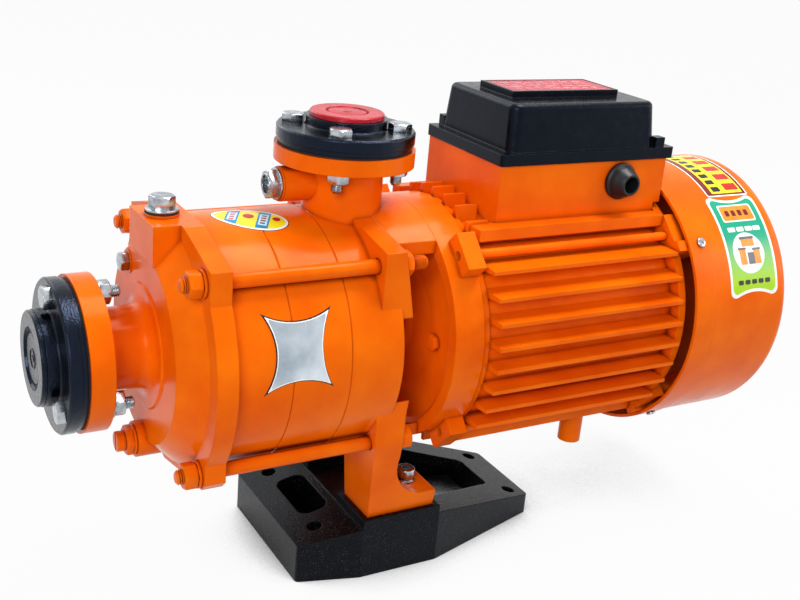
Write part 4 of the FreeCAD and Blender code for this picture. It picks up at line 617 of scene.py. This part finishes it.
def fan_cover_labels():
    """A green label with bitten ends, a disc and bars on it, and a yellow one with two rows."""
    span = (290, 370)
    field = []
    for half_x, half_y in ((30, 49), (27.3, 46.2)):
        plate = stamp_of((-half_x, half_x), (-half_y, half_y), 6)
        for end in (-1, 1):
            cut(plate, round_stamp(60, 0, end * (half_y + 56), 96, STAMP_TOOL))
        field.append(plate)
    label("green_label", FAN_COVER, 336.5, 35.5, span, [
        ("white", [field[0]]),
        ("green", [field[1]]),
        ("white", [stamp_of((-21, 21), (22, 40), 2), round_stamp(19.5, -2, -9, 64)]
         + [stamp_of((a, a + 9), (12, 16.5), 1) for a in (-20, -9, 2, 12)]),
        ("orange", [stamp_of((-19.5, 19.5), (23.5, 38.5), 2), stamp_of((-9, 7), (-3, 4)),
                    stamp_of((-14, -6), (-20, -6)), stamp_of((4, 12), (-20, -7))]),
        ("maroon", [stamp_of((-15 + 8 * k, -10 + 8 * k), (28, 34), 1) for k in range(4)]),
        ("steel", [stamp_of((-10, 8), (4, 6.5)), stamp_of((-15, -5), (-6, -4)),
                   stamp_of((3, 13), (-7, -5)), stamp_of((-4, 4), (-20, -9))]),
        ("black", [stamp_of((-20 + 8.5 * k, -14 + 8.5 * k), (-38, -34), 1) for k in range(5)]),
    ])
    label("yellow_label", FAN_COVER, 338, 78, span, [
        ("white", [stamp_of((-25, 27), (-43, 43), 2.5)]),
        ("maroon", [stamp_of((-23.5, 25.5), (-41.5, 41.5), 1.5)]),
        ("yellow", [stamp_of((-17, 22), (-39.5, 39.5), 1)]),
        ("red", [stamp_of((3, 20), (-36 + 15 * k, -27 + 15 * k), 1) for k in range(5)]),
        ("black", [stamp_of((-14, -4), (-37 + 10 * k, -31 + 10 * k), 1) for k in range(8)]),
    ])


def casing_label():
    """An oval label, set aslant, with two blue bands and rows of small bars."""
    band = [cut(stamp_of(x, (-20, 20)), oval(28.5, 16), "INTERSECT") for x in ((-19, -9), (6, 16))]
    label("oval_label", CASING, -126, 84, (-171.8, -75), [
        ("black", [oval(31.5, 19)]),
        ("white", [oval(30.8, 18.3)]),
        ("yellow", [oval(28.6, 16.1)]),
        ("blue", band),
        ("pale", [stamp_of((-17.5, -10.5), (-9, 9)), stamp_of((7.5, 14.5), (-10, 10))]),
        ("red", [round_stamp(4.5, -1.5, 3, 32), round_stamp(3.2, 21, 4, 32)]
         + [stamp_of((-16, -12), (-8 + 4.5 * k, -6 + 4.5 * k)) for k in range(4)]),
        ("maroon", [stamp_of((9, 13), (-8 + 4.5 * k, -6 + 4.5 * k)) for k in range(4)]),
    ], turn=-29)


def hollow_sided(grow):
    """The outline of the bright plate, grown by that many millimetres."""
    made = stamp_of((-26.5 - 3.6 * grow, 26.5 + 3.6 * grow), (-30.1 - 3 * grow, 30.1 + 3 * grow))
    for x, y in ((-77, 0), (77, 0), (0, -80.9), (0, 80.9)):
        cut(made, round_stamp(58 - grow, x, y, 128, STAMP_TOOL))
    return made


def badge_lines():
    """A dark line of painted shade round the bright plate on the casing, and a white one along its
    own edge.
    """
    low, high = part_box("badge_plate")
    station = (low[0] + high[0]) / 2 / MM
    # The black line round the plate is painted shade
    for name, radius, outer, inner, ink in (("badge_shadow_edge", CASING, 0.85, 0, "black"),
                                            ("badge_line", BRIGHT_PLATE, 0, -0.8, "white")):
        line = cut(hollow_sided(outer), hollow_sided(inner))
        label(name, radius, station, 13.2, (-171, -75), [(ink, [line])])


fan_cover_labels()
casing_label()
badge_lines()


# Relief on the plugs of the ports and on the lid's plate

def port_plug_relief():
    """The raised middle of the red plug with a narrow groove round it, and the low ring and boss on
    the sunk middle of the black one."""
    middle = [soften(cylinder(15.7, 1.3, 3.6, 96), 0.5, 3), soften(cylinder(4, 3.5, 3.9), 0.2)]
    piece("discharge_port_plug_relief", put(joined(middle), (-39.5, 0, 391.4), UP),
          "discharge_port_plug_body", "red_plastic")
    low_ring = cut(soften(cylinder(8.2, 2.3, 3.1), 0.25), cylinder(7.1, 2, 4))
    middle = [low_ring, soften(cylinder(3, 2.3, 3.0), 0.25)]
    piece("suction_port_plug_relief", put(joined(middle), (-292.2, 0, SHAFT), TO_INLET),
          "suction_port_plug_body", "black_enamel")


def lid_plate_relief():
    """A plain frame line and rows of raised bars, rubbed pale along their tops."""
    margin, line, sunk, proud = 3, 1.2, 0.3, 0.2
    row_pitch, bar_height, least_gap = 8.5, 4.5, 1.5
    low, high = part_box("lid_label_plate")
    x0, x1 = low[0] / MM + margin, high[0] / MM - margin
    y0, y1 = low[1] / MM + margin, high[1] / MM - margin
    bars = [((x0, x1), (y0, y0 + line)), ((x0, x1), (y1 - line, y1)),
            ((x0, x0 + line), (y0, y1)), ((x1 - line, x1), (y0, y1))]
    for row, (count, width) in enumerate(((9, 6.5), (5, 13), (11, 5), (7, 9))):
        step = (x1 - x0 - 10) / count
        bottom = y0 + 4 + row_pitch * row
        for k in range(count):
            start = x0 + 5 + step * k
            bars.append(((start, start + min(width, step - least_gap)),
                         (bottom, bottom + bar_height)))
    top = high[2] / MM
    parts = [soften(block(x, y, (top - sunk, top + proud)), 0.15) for x, y in bars]
    piece("lid_plate_relief", joined(parts), "pump_body", "red_plastic",
          material=printed("rubbed_pink_ink", "#B04A58", "#D08890"))


port_plug_relief()
lid_plate_relief()


# Camera, light and floor

def seen_outright(tree):
    """One for rays from the camera and for those off or through gloss and glass, else nothing."""
    rays = add_node(tree, "LightPath").outputs
    share = rays["Is Camera Ray"]
    for kind in ("Is Glossy Ray", "Is Transmission Ray"):
        share = add_node(tree, "Math", {0: share, 1: rays[kind]}, operation="MAXIMUM").outputs[0]
    return share


def studio():
    """The camera, four soft lamps and a pale room, all with their places in metres."""
    data = bpy.data.cameras.new("camera")
    data.sensor_width = 36
    data.lens = 51.469
    camera = bpy.data.objects.new("camera", data)
    camera.location = (-0.470412, -0.821712, 0.579651)
    camera.rotation_euler = (radians(69.537), radians(-4.891), radians(-29.356))
    bpy.context.collection.objects.link(camera)
    bpy.context.scene.camera = camera

    middle = Vector((0.05, 0, 0.2))
    for name, place, size, watts, tint in (
            ("key_light", (-1.5, -1.65, 1.3), 1.0, 34, "#FFFFFF"),
            ("top_light", (0.6, 0.0, 2.0), 1.0, 38, "#FFF8FA"),
            ("side_light", (1.9, -1.0, 0.9), 0.9, 10, "#FFFFFF"),
            ("back_light", (-0.6, 1.9, 1.5), 1.4, 14, "#FFFFFF")):
        light = bpy.data.lights.new(name, "AREA")
        light.size = size
        light.energy = watts
        light.color = linear(tint)[:3]
        lamp = bpy.data.objects.new(name, light)
        lamp.location = place
        lamp.rotation_euler = (middle - Vector(place)).to_track_quat("-Z", "Y").to_euler()
        bpy.context.collection.objects.link(lamp)

    world = bpy.data.worlds.new("studio")
    world.use_nodes = True
    tree = world.node_tree
    tree.nodes.clear()
    level = add_node(tree, "MapRange", {"Value": seen_outright(tree), "To Min": 0.25,
                                        "To Max": 1.0})
    sky = add_node(tree, "Background", {"Color": linear("#FFFFFF"),
                                        "Strength": level.outputs["Result"]})
    add_node(tree, "OutputWorld", {"Surface": sky.outputs[0]})
    bpy.context.scene.world = world
    bpy.context.scene.view_settings.view_transform = "Standard"


def paper_floor():
    """White paper that stays white to the camera, with a painted shadow that darkens it only close
    under the pump.
    """
    shadow_reach, whiteness = 0.12, 0.96
    bpy.ops.object.select_all(action="DESELECT")
    bpy.ops.mesh.primitive_plane_add(size=40, location=(0, 0, -0.5 * MM))
    floor = bpy.context.object
    floor.name = "floor"
    made, tree, place = new_material("white_paper_floor")
    cloud = add_node(tree, "TexNoise", {"Vector": place, "Scale": 3.0}).outputs["Fac"]
    grain = add_node(tree, "ValToRGB", {"Fac": cloud}, shades("#B4B4B4", "#BCBCBC"))
    paper = add_node(tree, "BsdfDiffuse", {"Color": grain.outputs["Color"]})
    # Painted shadow: the glow dims where ambient occlusion finds the pump close overhead
    open_air = add_node(tree, "AmbientOcclusion", {"Distance": shadow_reach}, samples=8)
    near = add_node(tree, "MapRange", {"Value": open_air.outputs["AO"], "From Min": 0.25,
                                       "From Max": 0.68}, interpolation_type="SMOOTHSTEP")
    glow = add_node(tree, "Emission", {"Color": linear("#FFFFFF"),
                                       "Strength": near.outputs["Result"]})
    share = add_node(tree, "Math", {0: seen_outright(tree), 1: whiteness}, operation="MULTIPLY")
    mixed = add_node(tree, "MixShader", {0: share.outputs[0], 1: paper.outputs[0],
                                         2: glow.outputs[0]})
    add_node(tree, "OutputMaterial", {"Surface": mixed.outputs[0]})
    paint(floor, made)


studio()
paper_floor()
